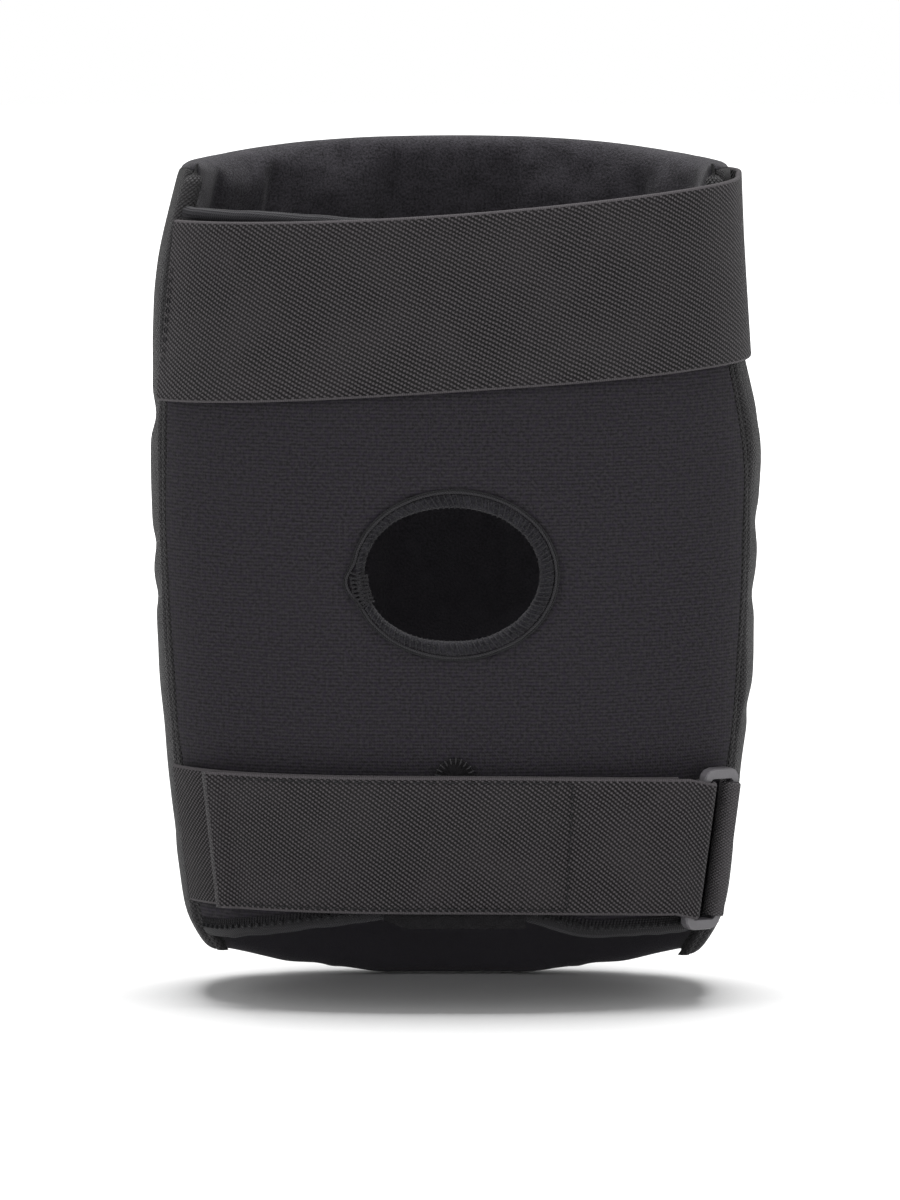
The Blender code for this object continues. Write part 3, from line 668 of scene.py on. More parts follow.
def brushed(name, colour, grain, depth=0.0004, sheen=0.12, painted_light_below=0.0):
    """Brushed fleece or loop tape: short soft pile. Below the given height it is painted paler, as painted
    light.
    """
    paint = Paint(name, 0.1)
    place, _, _ = paint.uv()
    pile = paint.noise(place, grain, 4.0, 0.7)
    height = paint.times(paint.noise(place, grain * 7, 3.0), 0.3, pile)
    base = paint.tones(paint.ramp(height, 0.40, 0.90), colour, 0.3, 1.9)
    # Painted light: the pile is painted paler towards the bottom, standing in for light on the lower lining
    if painted_light_below:
        z = paint.node("SeparateXYZ", {0: paint.object_place()}).outputs[2]
        base = paint.colour(paint.ramp(z, painted_light_below, 0.0), base, scaled(colour, 2.5))
    return paint.finish(base, 0.95, height, depth, sheen)


def hook_tape(name, colour):
    """Rows of small stiff hooks on a woven ground."""
    paint = Paint(name, 0.5)
    place, u, v = paint.uv()
    hooks = paint.math("POWER", paint.times(paint.wave(u, 0.0014), paint.wave(v, 0.0011)), 3.0)
    rough = paint.times(paint.noise(place, 0.0005, 2.0), 0.2, 0.35)
    return paint.finish(paint.tones(hooks, colour, 0.6, 2.6), rough, hooks, 0.0006)


def thread(name, colour):
    """Twisted sewing thread."""
    paint = Paint(name, 0.2)
    place, u, v = paint.uv()
    strands = paint.wave(paint.add(u, paint.times(v, 0.8)), 0.0007)
    shade = paint.weighted(strands, 0.6, paint.noise(place, 0.0003, 3.0), 0.4)
    return paint.finish(paint.tones(shade, colour, 0.5, 1.6), 0.6, strands, 0.00015, sheen=0.05)


def plastic(name, colour, roughness, edge_share, grain=0.0006, depth=0.00004):
    """Moulded plastic with a fine grain, rubbed paler along its edges and scuffed."""
    paint = Paint(name, 0.5)
    place = paint.object_place()
    fine = paint.noise(place, grain, 3.0)
    scuff = paint.ramp(paint.noise(place, 0.004, 5.0, 0.7), 0.56, 0.70)
    shade = paint.weighted(paint.noise(place, 0.02, 3.0), 0.6, fine, 0.4)
    base = paint.tones(shade, colour, 0.75, 1.3)
    base = paint.tint(base, paint.worn_edges(), edge_share, scaled(colour, 3.0))
    base = paint.tint(base, scuff, 0.18, scaled(colour, 2.6))
    return paint.finish(base, paint.times(scuff, 0.15, roughness), fine, depth)


def steel(name, colour):
    """Blackened steel with bright rubbed rims."""
    paint = Paint(name)
    rubs = paint.noise(paint.object_place(), 0.0012, 4.0, 0.7)
    base = paint.tones(paint.ramp(rubs, 0.35, 0.7), colour, 0.5, 1.5)
    base = paint.colour(paint.worn_edges(), base, scaled(colour, 3.0))
    return paint.finish(base, paint.times(rubs, 0.3, 0.25), rubs, 0.00003, metallic=1.0)


STRAP_GREY = (0.0295, 0.0268, 0.0286)
ELASTIC = twill("upper_elastic", STRAP_GREY, 0.0011, 30.0, UPPER_WIDTH / 2)
BASE_ELASTIC = twill("base_elastic", scaled(STRAP_GREY, 1.02), 0.0009, -45.0, LOWER_WIDTH / 2)
TAIL_ELASTIC = twill("tail_elastic", scaled(STRAP_GREY, 1.08), 0.00105, -38.0, LOWER_WIDTH / 2)
NEOPRENE = jersey("neoprene", (0.0150, 0.0138, 0.0158))
NYLON = coarse_nylon("coarse_nylon", (0.0150, 0.0143, 0.0152), 0.0016)
WING_RIB = coarse_nylon("wing_rib", (0.0260, 0.0250, 0.0262), 0.0013)
# Painted highlight: a paler copy of the ribbed fabric for the tail's folded end, standing in for the light
# along that edge
FOLD_RIB_HIGHLIGHT = coarse_nylon("fold_rib_painted_highlight", (0.0600, 0.0570, 0.0590), 0.0011)
WEBBING = coarse_nylon("tab_webbing", (0.058, 0.054, 0.057), 0.0011)
# The lining is painted paler below 0.20 m as painted light
FLEECE = brushed("fleece", (0.0225, 0.0210, 0.0245), 0.0007, painted_light_below=0.20)
LOOP_TAPE = brushed("loop_tape", (0.0085, 0.0080, 0.0088), 0.0004, 0.0005, 0.04)
HOOK_TAPE = hook_tape("hook_tape", (0.020, 0.020, 0.021))
OVERLOCK = thread("overlock_thread", (0.0150, 0.0143, 0.0168))
SERGED = brushed("serged_edge", (0.0150, 0.0143, 0.0172), 0.0009, 0.0006)
CORD_THREAD = thread("cord_thread", (0.0185, 0.0178, 0.0200))
HEM_THREAD = thread("hem_thread", (0.0110, 0.0104, 0.0118))
PALE_THREAD = thread("pale_thread", (0.026, 0.025, 0.027))
# Dark thread for the real stitches; also drawn as a thin line of painted shade in the groove round the hole
DARK_THREAD_AND_GROOVE_SHADE = thread("dark_thread_and_groove_shade", (0.0075, 0.0075, 0.0085))
RING_PLASTIC = plastic("ring_plastic", (0.056, 0.053, 0.058), 0.32, 0.4)
CAP_PLASTIC = plastic("cap_plastic", (0.016, 0.016, 0.017), 0.42, 0.6, 0.0009, 0.00008)
STEEL = steel("rivet_steel", (0.07, 0.07, 0.073))


# ------------------------------------------------------------------ padded front

FRONT_FIRST = -SEAM_TURN + SEAM_GAP_TURN
FRONT_COLUMNS = 104
FRONT_ROWS = 56
RIM_POINTS = 6
RIM_HALF = RIM_POINTS // 2
END_STEPS = (0.0, 0.5, 1.1, 1.9)
END_REACH = 3.0
CLOTH_FRAMES = 20
CLOTH = {
    "quality": 6,
    "mass": 0.15,
    "tension_stiffness": 12.0,
    "compression_stiffness": 12.0,
    "bending_stiffness": 0.6,
    "use_pressure": True,
    "uniform_pressure_force": 4.0,
    "vertex_group_mass": "stitched",
}


def front_turns():
    """Turns across the front, closer together where its two ends are rounded."""
    first = [FRONT_FIRST + step for step in END_STEPS]
    last = [180.0 - turn for turn in reversed(first)]
    return first + spread(FRONT_FIRST + END_REACH, 180.0 - FRONT_FIRST - END_REACH, FRONT_COLUMNS) + last


def from_end(turn):
    """Degrees from the nearer end of the padding."""
    return min(turn, 180.0 - turn) - FRONT_FIRST


def end_round(turn):
    """How thick the padding is near its ends, as a share: a quarter turn of rounding."""
    return max(0.3, math.sqrt(1 - max(0.0, 1 - from_end(turn) / END_REACH) ** 2))


def wing_share(turn):
    """1 at the side seams and 0 from the first quilting line to the front."""
    return 1.0 - smooth_step(from_end(turn) / 50.0)


def crease_depth(turn, z):
    """How far the wings and the front are drawn in by level creases and seams."""
    share = z / HEIGHT
    wing = max(near(share, place, 0.022) for place in (CREASES_RIGHT if turn < 90 else CREASES_LEFT))
    front = max(near(share, place, 0.018) for place in CREASES_FRONT)
    at_wing = wing_share(turn)
    return CREASE_DEPTH_WING * wing * at_wing + CREASE_DEPTH_FRONT * front * (1 - at_wing)


def wing_bulge(turn, z):
    """How far each wing swells past the plain sleeve beside and below the upper strap."""
    swellings = SWELLINGS_RIGHT if turn < 90 else SWELLINGS_LEFT
    swell = sum(depth * near(z, height, reach) for height, reach, depth in swellings)
    return (swell + FOOT_SWELLING * smooth_step((0.065 - z) / 0.040)) * wing_share(turn)


def lining_crease(turn, z):
    """Three faint upright creases in the lining, opposite the opening."""
    x = sleeve(turn, z).x
    return LINING_CREASE_DEPTH * max(near(x, place, 0.0035) for place in LINING_CREASE_X)


def quilt_depth(turn):
    return QUILT_DEPTH * max(near(turn, place, QUILT_HALF_TURN) for place in QUILT_TURNS)


def under_cap(turn, z):
    """1 under the hard cap, 0 away from it."""
    place = sleeve(turn, z)
    if place.y < MIDDLE_Y:
        return 0.0
    margin = 0.003
    across = place.x / (CAP_HALF_WIDTH + margin)
    up = (z - CAP_CENTRE_Z) / (CAP_HALF_HEIGHT + margin)
    return 1.0 - smooth_step((math.hypot(across, up) - 0.80) / 0.20)


def front_section(turn):
    """One upright section: places (offset, height) from the middle of the lower edge, out and round."""
    roll = (pad_depth(turn) - 2 * PAD_INSET) / 2 * end_round(turn)
    middle = -pad_depth(turn) / 2
    low = bottom_edge(turn) + roll
    high = top_edge(turn) - roll - 0.0025 * (1 - end_round(turn))
    rim = [math.pi * (k + 1) / (RIM_POINTS + 1) for k in range(RIM_POINTS)]
    top = [(middle + roll * math.cos(a), high + roll * math.sin(a)) for a in rim]
    bottom = [(middle + roll * math.cos(a), low - roll * math.sin(a)) for a in rim]
    outer = []
    inner = []
    for z in spread(low, high, FRONT_ROWS):
        outer.append((middle + roll - max(quilt_depth(turn), crease_depth(turn, z)), z))
        inner.append((middle - roll + lining_crease(turn, z), z))
    return bottom[:RIM_HALF][::-1] + outer + top + inner[::-1] + bottom[RIM_HALF:][::-1]


def is_pinned(turn, j, z):
    """True where the padding is stitched or creased, so pressure doesn't lift it."""
    total = 2 * (FRONT_ROWS + 1) + 2 * RIM_POINTS
    if j < RIM_HALF or j >= total - RIM_HALF or min(turn, 180.0 - turn) < FRONT_FIRST + END_STEPS[2]:
        return True
    if j > RIM_HALF + FRONT_ROWS:
        return lining_crease(turn, z) > 0.0006
    step = 2 * (90.0 - FRONT_FIRST) / FRONT_COLUMNS
    return crease_depth(turn, z) > 0.0013 or any(abs(turn - place) <= step / 2 for place in QUILT_TURNS)


def inflate(rings):
    """Blows the padding up between its stitched lines and returns the new rings."""
    shape = Shape()
    shape.add(rings, lambda i, j: (0.0, 0.0))
    pad = shape.finish("padding_cloth", NYLON)
    pins = pad.vertex_groups.new(name="stitched")
    sides = len(rings[0])
    for i, turn in enumerate(front_turns()):
        held = [i * sides + j for j in range(sides) if is_pinned(turn, j, rings[i][j].z)]
        pins.add(held, 1.0, "REPLACE")
    cloth = pad.modifiers.new("cloth", "CLOTH")
    for name, value in CLOTH.items():
        setattr(cloth.settings, name, value)
    cloth.settings.effector_weights.gravity = 0.0
    cloth.collision_settings.use_collision = False
    for step in range(1, CLOTH_FRAMES + 1):
        bpy.context.scene.frame_set(step)
    points = [vertex.co.copy() for vertex in evaluated_mesh(pad).vertices]
    bpy.data.objects.remove(pad)
    bpy.context.scene.frame_set(1)
    return [points[i * sides : (i + 1) * sides] for i in range(len(rings))]


def puff_limit(turn, z):
    """How far the padding may stand out: less under the upper strap and the hard cap."""
    strapped = smooth_step((UPPER_END_TURN + 8.0 - turn) / 8.0)
    strapped *= near(z, UPPER_CENTRE_RIGHT, UPPER_WIDTH * 0.75)
    limit = PUFF_LIMIT + (PUFF_UNDER_STRAP - PUFF_LIMIT) * min(1.0, 3.0 * strapped)
    return limit - 0.0032 * under_cap(turn, z)


def padding():
    """Rings of the padded front, puffed by cloth simulation and kept under the straps."""
    turns = front_turns()
    sections = [front_section(turn) for turn in turns]
    rings = []
    for turn, section in zip(turns, sections):
        rings.append([sleeve(turn, z, offset + wing_bulge(turn, z)) for offset, z in section])
    puffed = inflate(rings)
    result = []
    for turn, section, ring, blown in zip(turns, sections, rings, puffed):
        kept = []
        for (offset, z), start, end in zip(section, ring, blown):
            out = outward(turn, z, offset)
            moved = end - start
            if moved.length > PUFF_TRAVEL:
                moved = moved.normalized() * PUFF_TRAVEL
            rise = moved.dot(out) + WRINKLE_DEPTH * noise(sleeve(turn, z) * 90.0)
            rise = min(rise, puff_limit(turn, z) - offset)
            kept.append(start + (moved - out * moved.dot(out)) * 0.5 + out * rise)
        result.append(kept)
    return result


def grid_normals(grid):
    """Outward ways of an open grid of points, from the slopes between its neighbours."""
    normals = []
    last_i, last_j = len(grid) - 1, len(grid[0]) - 1
    for i, row in enumerate(grid):
        ways = []
        for j in range(len(row)):
            along = grid[min(i + 1, last_i)][j] - grid[max(i - 1, 0)][j]
            up = row[min(j + 1, last_j)] - row[max(j - 1, 0)]
            ways.append(along.cross(up).normalized())
        normals.append(ways)
    return normals


def skin(name, grid, thickness, material, subdivide=0):
    """A closed sheet of fabric behind an open grid of points, with UVs in metres."""
    rings = []
    for row, ways in zip(grid, grid_normals(grid)):
        back = [point - way * thickness for point, way in zip(row, ways)]
        rings.append(row + back[::-1])
    across = path_lengths([row[len(row) // 2] for row in grid])
    up = path_lengths(grid[len(grid) // 2])
    up += up[::-1]
    shape = Shape()
    shape.add(rings, lambda i, j: (across[i], up[j % len(up)]))
    return shape.finish(name, material, 80.0, subdivide)


def padded_front():
    rings = padding()
    join = RIM_HALF + FRONT_ROWS + 1
    cover = [ring[: join + 1] for ring in rings]
    lining = [ring[join:] + ring[:1] for ring in rings]
    foams = [name for name in frame["nodes"] if "foam" in name]
    gussets = ("flex_gusset_left", "flex_gusset_right")
    piece = skin("front_cover", cover, COVER_THICKNESS, NYLON, 1)
    attach(piece, KNEE, "coarse_nylon", "thigh_cover", "shin_cover", *gussets)
    piece = skin("front_lining", lining, COVER_THICKNESS, FLEECE, 1)
    attach(piece, KNEE, "brushed_lining", "thigh_lining", "shin_lining", *foams)
    wing_rolls()
    quilt_stitches()


def upright_stations(turn, low, high, steps, offset):
    """Stations up the sleeve at one turn, at offset(z) from its skin."""
    stations = []
    for z in spread(low, high, steps):
        out = outward(turn, z)
        stations.append((sleeve(turn, z, offset(z)), out.cross(UP), out))
    return stations


def wing_rolls():
    """Ribbed fabric rolled round the back end of each wing, from its lower to its upper corner."""
    ribs = ripple(0.0013, 0.035)
    for side, turn in (("right", FRONT_FIRST - 0.2), ("left", 180.0 - FRONT_FIRST + 0.2)):
        low, high = bottom_edge(turn) + 0.0004, top_edge(turn) - 0.0002

        def offset(z, turn=turn):
            return wing_bulge(turn, z) - PAD_DEPTH_SEAM / 2 + 0.0004 * noise((z * 60.0, 1.0, turn))

        def swell(length, v, total=high - low):
            end = min(length, total - length) / 0.0032
            return math.sqrt(max(0.02, 1 - max(0.0, 1 - end) ** 2)) * ribs(length, v)

        stations = upright_stations(turn, low, high, 300, offset)
        piece = sweep("wing_roll_" + side, stations, round_profile(0.0018, 16, 1.62), WING_RIB, swell=swell)
        attach(piece, KNEE, "coarse_nylon")


def quilt_stitches():
    """Stitches in the valleys of the padding's quilting lines."""
    shape = Shape()
    margin = 0.010
    for turn in QUILT_TURNS:

        def place(z, turn=turn):
            point = sleeve(turn, z, -QUILT_STITCH_DEPTH)
            return point, (sleeve(turn, z) - point).normalized()

        stitch_row(shape, place, bottom_edge(turn) + margin, top_edge(turn) - margin, 0.0034, 0.00028)
    attach(shape.finish("quilt_stitches", PALE_THREAD), KNEE, "overlock_thread")


# ------------------------------------------------------------------ neoprene back

PANEL_STEPS = 46
PANEL_RINGS = 30
BACK_FIRST = -180.0 + (SEAM_TURN + SEAM_GAP_TURN)
BACK_LAST = -(SEAM_TURN + SEAM_GAP_TURN)
PANEL_MIDDLE = -PANEL_THICKNESS / 2


def back_relief(x, z):
    """How the stretched neoprene's face stands away from the smooth sleeve."""
    reach = math.hypot((x - HOLE_CENTRE.x) / HOLE_HALF_WIDTH, (z - HOLE_CENTRE.z) / HOLE_HALF_HEIGHT)
    groove = -0.0011 * near(reach, 1.15, 0.09)
    soft = 0.0005 * noise((x * 28.0, z * 28.0, 3.0))
    fold = 0.0003 * noise((x * 60.0 + z * 40.0, z * 20.0, 9.0))
    pull = -0.0005 * near(z, HEM_LOW + 0.045, 0.012)
    return groove + soft + fold + pull


def panel_outline():
    """Places (turn, height share) round the panel's edge, with its corners on the list."""
    corners = ((BACK_LAST, 0.0), (BACK_LAST, 1.0), (BACK_FIRST, 1.0), (BACK_FIRST, 0.0), (BACK_LAST, 0.0))
    outline = []
    for (turn, share), (next_turn, next_share) in zip(corners, corners[1:]):
        turns, shares = spread(turn, next_turn, PANEL_STEPS), spread(share, next_share, PANEL_STEPS)
        outline += list(zip(turns, shares))[:-1]
    return outline


def back_panel():
    """A sheet with an oval hole: loops of points run from the hole out to the edges."""
    columns = []
    uvs = []
    for turn, share in panel_outline():
        low = hem_low(turn) + HEM_HEIGHT * 0.6
        edge = sleeve(turn, low + (PANEL_TOP - low) * share)
        angle = math.atan2((edge.z - HOLE_CENTRE.z) / HOLE_HALF_HEIGHT, edge.x / HOLE_HALF_WIDTH)
        hole_z = HOLE_CENTRE.z + HOLE_HALF_HEIGHT * math.sin(angle)
        hole_turn = turn_at(HOLE_HALF_WIDTH * math.cos(angle), hole_z)
        outer, inner, spots = [], [], []
        for step in spread(0.0, 1.0, PANEL_RINGS):
            way = step**1.25
            z = hole_z + (edge.z - hole_z) * way
            here = hole_turn + (turn - hole_turn) * way
            x = sleeve(here, z).x
            relief = back_relief(x, z)
            outer.append(sleeve(here, z, relief))
            inner.append(sleeve(here, z, relief - PANEL_THICKNESS))
            spots.append((x * 1.08, z))
        columns.append(outer + inner[::-1])
        uvs.append(spots + spots[::-1])
    shape = Shape()
    shape.add(columns, lambda i, j: uvs[i % len(uvs)][j % len(uvs[0])], closed=True)
    attach(shape.finish("back_panel_cloth", NEOPRENE, 60.0), KNEE, "neoprene", "back_panel")


def oval_station(angle, grown, offset):
    """A place round the hole: its point, the way out from the hole's middle, the way outwards."""
    x = HOLE_CENTRE.x + (HOLE_HALF_WIDTH + grown) * math.cos(angle)
    z = HOLE_CENTRE.z + (HOLE_HALF_HEIGHT + grown) * math.sin(angle)
    point = face_point(x, z, offset)
    out = (face_point(x, z, offset + 0.001) - point).normalized()
    away = Vector((math.cos(angle) / HOLE_HALF_WIDTH, 0.0, math.sin(angle) / HOLE_HALF_HEIGHT)).normalized()
    return point, (away - out * away.dot(out)).normalized(), out


def left_share(angle):
    """1 at the left of the hole, where the binding is narrow, and 0 on its right."""
    return smooth_step(-math.cos(angle))


def band_width(angle):
    """The binding's width as a share of its width on the right."""
    return 1 - BAND_NARROWING_LEFT * left_share(angle)


def lobe(angle):
    """How far the outer cord swings out round the thread tail at the left."""
    return 0.0022 * near(math.degrees(angle), 186.0, 16.0)


def hole_binding():
    """A bound edge: a padded band, an outer cord in its groove, a thin dark line of painted shade in the
    groove outside the cord, and a zigzag over the band.
    """
    band, cord, groove = [], [], []
    for angle in round_angles(150):
        point, away, out = oval_station(angle, BAND_SHIFT_LEFT * left_share(angle), PANEL_MIDDLE)
        band.append((point, away * band_width(angle), out))
        cord.append(oval_station(angle, BAND_RADIUS + 0.0003 + lobe(angle), -0.0001))
        # Painted shade: a thin dark line just outside the cord stands in for the shade in the groove there;
        # it is not a real thread
        groove.append(oval_station(angle, BAND_RADIUS + 0.0009 + lobe(angle), -0.0002))
    for name, stations, profile, material, swell, nodes in (
        ("hole_band", band, round_profile(BAND_RADIUS, 14), SERGED, ripple(0.0011, 0.04), ["hole_binding"]),
        ("hole_cord", cord, round_profile(0.00040, 8), CORD_THREAD, ripple(0.0012, 0.12, 4000), []),
        ("hole_groove_painted_shade", groove, round_profile(0.00032, 6), DARK_THREAD_AND_GROOVE_SHADE, None, []),
    ):
        piece = sweep(name, stations, profile, material, closed=True, swell=swell)
        attach(piece, KNEE, "overlock_thread", *nodes)
    hole_zigzag()
    hole_overlap()


def hole_overlap():
    """The binding's thread tail, tacked down in short crossing turns at the left of the hole."""
    shape = Shape()
    for number in range(16):
        angle = math.radians(180.0 + 1.5 * number)
        spots = []
        for share in spread(0.0, 1.0, 5):
            grown = -0.0016 + 0.0048 * share + 0.0005 * noise((number * 2.3, share * 3.0, 0.0))
            lean = math.radians(3.0) * (share - 0.5) * (1 if number % 2 else -1)
            offset = 0.0001 + 0.0004 * math.sin(math.pi * share)
            spots.append(oval_station(angle + lean, grown, offset)[0::2])
        thread_into(shape, spots, 0.0003)
    attach(shape.finish("hole_overlap_threads", HEM_THREAD), KNEE, "overlock_thread")


def hole_zigzag():
    """Thread over the band: leaning turns with a short dark stitch sunk between some of them."""
    shape = Shape()
    dots = Shape()
    count = 96
    for number, angle in enumerate(round_angles(count)):
        thin = band_width(angle)
        jitter = 0.15 * noise((number * 1.7, 0.0, 0.0))
        lean = 2 * math.pi / count * (0.9 + jitter)
        spots = []
        for share in spread(0.0, 1.0, 6):
            reach = -1.0 + 2.0 * share
            around = math.pi / 2 * (1 - abs(reach) ** 2)
            grown = reach * (BAND_RADIUS * thin + 0.0001) + BAND_SHIFT_LEFT * left_share(angle)
            offset = PANEL_MIDDLE + BAND_RADIUS * math.sin(around) + 0.0001
            point, away, out = oval_station(angle + lean * share, grown, offset)
            spots.append((point, (out + away * reach * 0.6).normalized()))
        thread_into(shape, spots, 0.00022)
        if number % 3:
            step = math.pi / count
            start, _, out = oval_station(angle + step, -0.0004 * thin, 0.0005)
            end = oval_station(angle + step * 1.4, (0.0003 + 0.0006 * jitter) * thin, 0.0005)[0]
            stitch_into(dots, start, end, out, 0.00034)
    attach(shape.finish("hole_zigzag", OVERLOCK), KNEE, "overlock_thread")
    attach(dots.finish("hole_dark_stitches", DARK_THREAD_AND_GROOVE_SHADE), KNEE, "overlock_thread")


def top_hem():
    """The rolled top edge of the back, wrapped closely in thread."""
    low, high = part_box("top_hem")
    z = (low.z + high.z) / 2
    stations = []
    for turn in spread(BACK_FIRST - 2.0, BACK_LAST + 2.0, 900):
        rise = 0.0004 * noise((turn * 0.12, 5.0, 0.0))
        rise += 0.0016 * smooth_step((-turn - 95.0) / 35.0)
        stations.append((sleeve(turn, z + rise, PANEL_MIDDLE), UP, outward(turn, z)))
    wraps = ripple(0.00068, 0.055, 500)
    piece = sweep("top_hem_roll", stations, round_profile(HEM_RADIUS, 12), OVERLOCK, swell=wraps)
    attach(piece, "thigh", "overlock_thread", "top_hem")


def bottom_hem():
    """The lower edge: a ribbed band with a paler rolled edge below it."""
    turns = spread(BACK_FIRST - 0.5, BACK_LAST + 0.5, 240)
    band, roll = [], []
    for turn in turns:
        low = hem_low(turn)
        out = outward(turn, low)
        ripples = 0.0005 * noise((turn * 0.15, 0.0, 2.0))
        band.append((sleeve(turn, low + HEM_HEIGHT * 0.56 + ripples, PANEL_MIDDLE), UP, out))
        roll.append((sleeve(turn, low + 0.0011 + ripples, PANEL_MIDDLE + 0.0006), UP, out))
    profile = flat_profile(HEM_HEIGHT * 0.88, PANEL_THICKNESS + 0.0007, 6)
    piece = sweep("bottom_hem_band", band, profile, HEM_THREAD)
    attach(piece, "shin", "overlock_thread", "bottom_hem")
    twist = ripple(0.0011, 0.05, 900)
    piece = sweep("bottom_hem_roll", roll, round_profile(0.0009, 10), CORD_THREAD, swell=twist)
    attach(piece, "shin", "overlock_thread")
    bottom_hem_threads(turns[0], turns[-1])


def bottom_hem_threads(first, last):
    """Leaning threads over the hem's band, and a row of short dark stitches along its middle."""
    shape = Shape()
    count = 150
    for number in range(count):
        turn = first + (last - first) * (number + 0.5) / count
        spots = []
        for share in spread(0.0, 1.0, 4):
            here = turn + 0.75 * share
            z = hem_low(here) + 0.0020 + (HEM_HEIGHT - 0.0022) * share
            bulge = 0.0003 + 0.0001 * math.sin(math.pi * share)
            spots.append((sleeve(here, z, bulge), outward(here, z)))
        thread_into(shape, spots, 0.00025)
    attach(shape.finish("bottom_hem_threads", HEM_THREAD), "shin", "overlock_thread")
    dots = Shape()
    reach = (last - first) / 2

    def middle(share):
        here = first + reach + reach * share
        z = hem_low(here) + HEM_HEIGHT * 0.58
        return sleeve(here, z, 0.0006), outward(here, z)

    stitch_row(dots, middle, -1.0, 1.0, 0.036, 0.0006, 0.5)
    attach(dots.finish("bottom_hem_stitches", DARK_THREAD_AND_GROOVE_SHADE), "shin", "overlock_thread")


def seam_pipings():
    """Twisted seam rolls between the back and the wings."""
    for side, turn in (("right", -SEAM_TURN), ("left", -180.0 + SEAM_TURN)):
        low, high = bottom_edge(turn), PANEL_TOP + 0.0035
        stations = upright_stations(turn, low, high, 260, lambda z: -PIPING_RADIUS)
        profile = round_profile(PIPING_RADIUS, 10)
        piece = sweep("seam_roll_" + side, stations, profile, NYLON, swell=ripple(0.0022, 0.07, 900))
        attach(piece, KNEE, "coarse_nylon", "seam_piping_" + side)


# The patch's section from its back to its face: shares of its radius and offsets
PATCH_FORM = ((0.05, 0.0001), (0.98, 0.0001), (1.0, 0.0004))
PATCH_FORM += ((0.97, 0.0008), (0.80, 0.0007), (0.05, 0.0006))


def stitch_patch():
    """A small round reinforcement, half under the strap, held by a ring of stitches."""
    low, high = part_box("stitch_patch")
    centre = (low + high) / 2
    radius = (high.x - low.x) / 2

    def spot(reach, angle, offset):
        x = centre.x + radius * reach * math.cos(angle)
        z = centre.z + radius * reach * math.sin(angle)
        return face_point(x, z, offset)

    shape = Shape()
    rings = [[spot(reach, angle, offset) for angle in round_angles(40)] for reach, offset in PATCH_FORM]
    shape.add(rings, lambda i, j: (0.001 * i, 0.0008 * j))
    attach(shape.finish("round_patch", LOOP_TAPE), "shin", "overlock_thread", "stitch_patch")
    thread_ring = Shape()
    for angle in round_angles(22):
        angle += 0.10
        out = (spot(1.04, angle, 0.002) - spot(1.04, angle, 0.0)).normalized()
        stitch_into(thread_ring, spot(0.70, angle, 0.0008), spot(1.04, angle, 0.0008), out, 0.00022)
    attach(thread_ring.finish("patch_stitches", PALE_THREAD), "shin", "overlock_thread")


# ------------------------------------------------------------------ upper strap


def closure_stack(turn):
    """How far the strap is lifted by the hook and loop tapes under its free end."""
    lift = 2 * (TAPE_THICKNESS + LAYER_GAP) + LAYER_GAP - STRAP_INNER
    return lift * smooth_step((turn - UPPER_PEEL_TURN) / 18.0)


def wrapped_station(turn, z, offset, lean=0.0):
    """A strap's station on the sleeve, with its across way up it. Lean tips its lower edge out."""
    point = sleeve(turn, z, offset)
    across = (sleeve(turn, z + 0.01, offset) - sleeve(turn, z - 0.01, offset)).normalized()
    out = (sleeve(turn, z, offset + 0.01) - point).normalized()
    return point, (across - out * lean).normalized(), (out + across * lean).normalized()


def upper_strap():
    stations = []
    for turn in spread(UPPER_FIRST_TURN, UPPER_END_TURN, 220):
        at_side = near(turn, -12.0, 32.0)
        offset = STRAP_MIDDLE + closure_stack(turn) + 0.0006 * at_side
        stations.append(wrapped_station(turn, upper_centre(turn), offset, UPPER_LEAN * at_side))
    profile = flat_profile(UPPER_WIDTH, STRAP_THICKNESS, 22)
    neck = lambda length, v: 1.0 - UPPER_NECK * near(length, HALF_WIDTH, HALF_WIDTH)
    piece = sweep("upper_strap_band", stations, profile, ELASTIC, swell=neck, lift=waves(0.00018))
    start = sleeve(UPPER_PEEL_TURN - 6.0, UPPER_CENTRE_RIGHT)
    end = sleeve(UPPER_PEEL_TURN + 9.0, UPPER_CENTRE_RIGHT)
    bodies = ("thigh", "upper_end", start, end)
    attach(piece, bodies, "elastic_webbing", "upper_strap", "upper_strap_end")
    upper_strap_stitches()


def upper_strap_stitches():
    """Two rows of stitches where the strap is sewn into the left seam."""
    shape = Shape()
    for turn in (UPPER_FIRST_TURN + 1.0, UPPER_FIRST_TURN + 2.2):

        def place(height, turn=turn):
            return wrapped_station(turn, height, STRAP_INNER + STRAP_THICKNESS)[0::2]

        low = upper_centre(turn) - UPPER_WIDTH / 2 + 0.002
        stitch_row(shape, place, low, low + UPPER_WIDTH - 0.004, 0.0026, 0.00022)
    attach(shape.finish("upper_strap_stitches", DARK_THREAD_AND_GROOVE_SHADE), "thigh", "overlock_thread")


def tape(name, turns, low, high, base, material):
    """A rectangle of hook or loop tape from low(turn) to high(turn), that far off the sleeve."""
    grid = []
    for turn in turns:
        heights = [low(turn) + (high(turn) - low(turn)) * share for share in spread(0.0, 1.0, 8)]
        grid.append([sleeve(turn, z, base + TAPE_THICKNESS) for z in heights])
    return skin(name, grid, TAPE_THICKNESS, material)


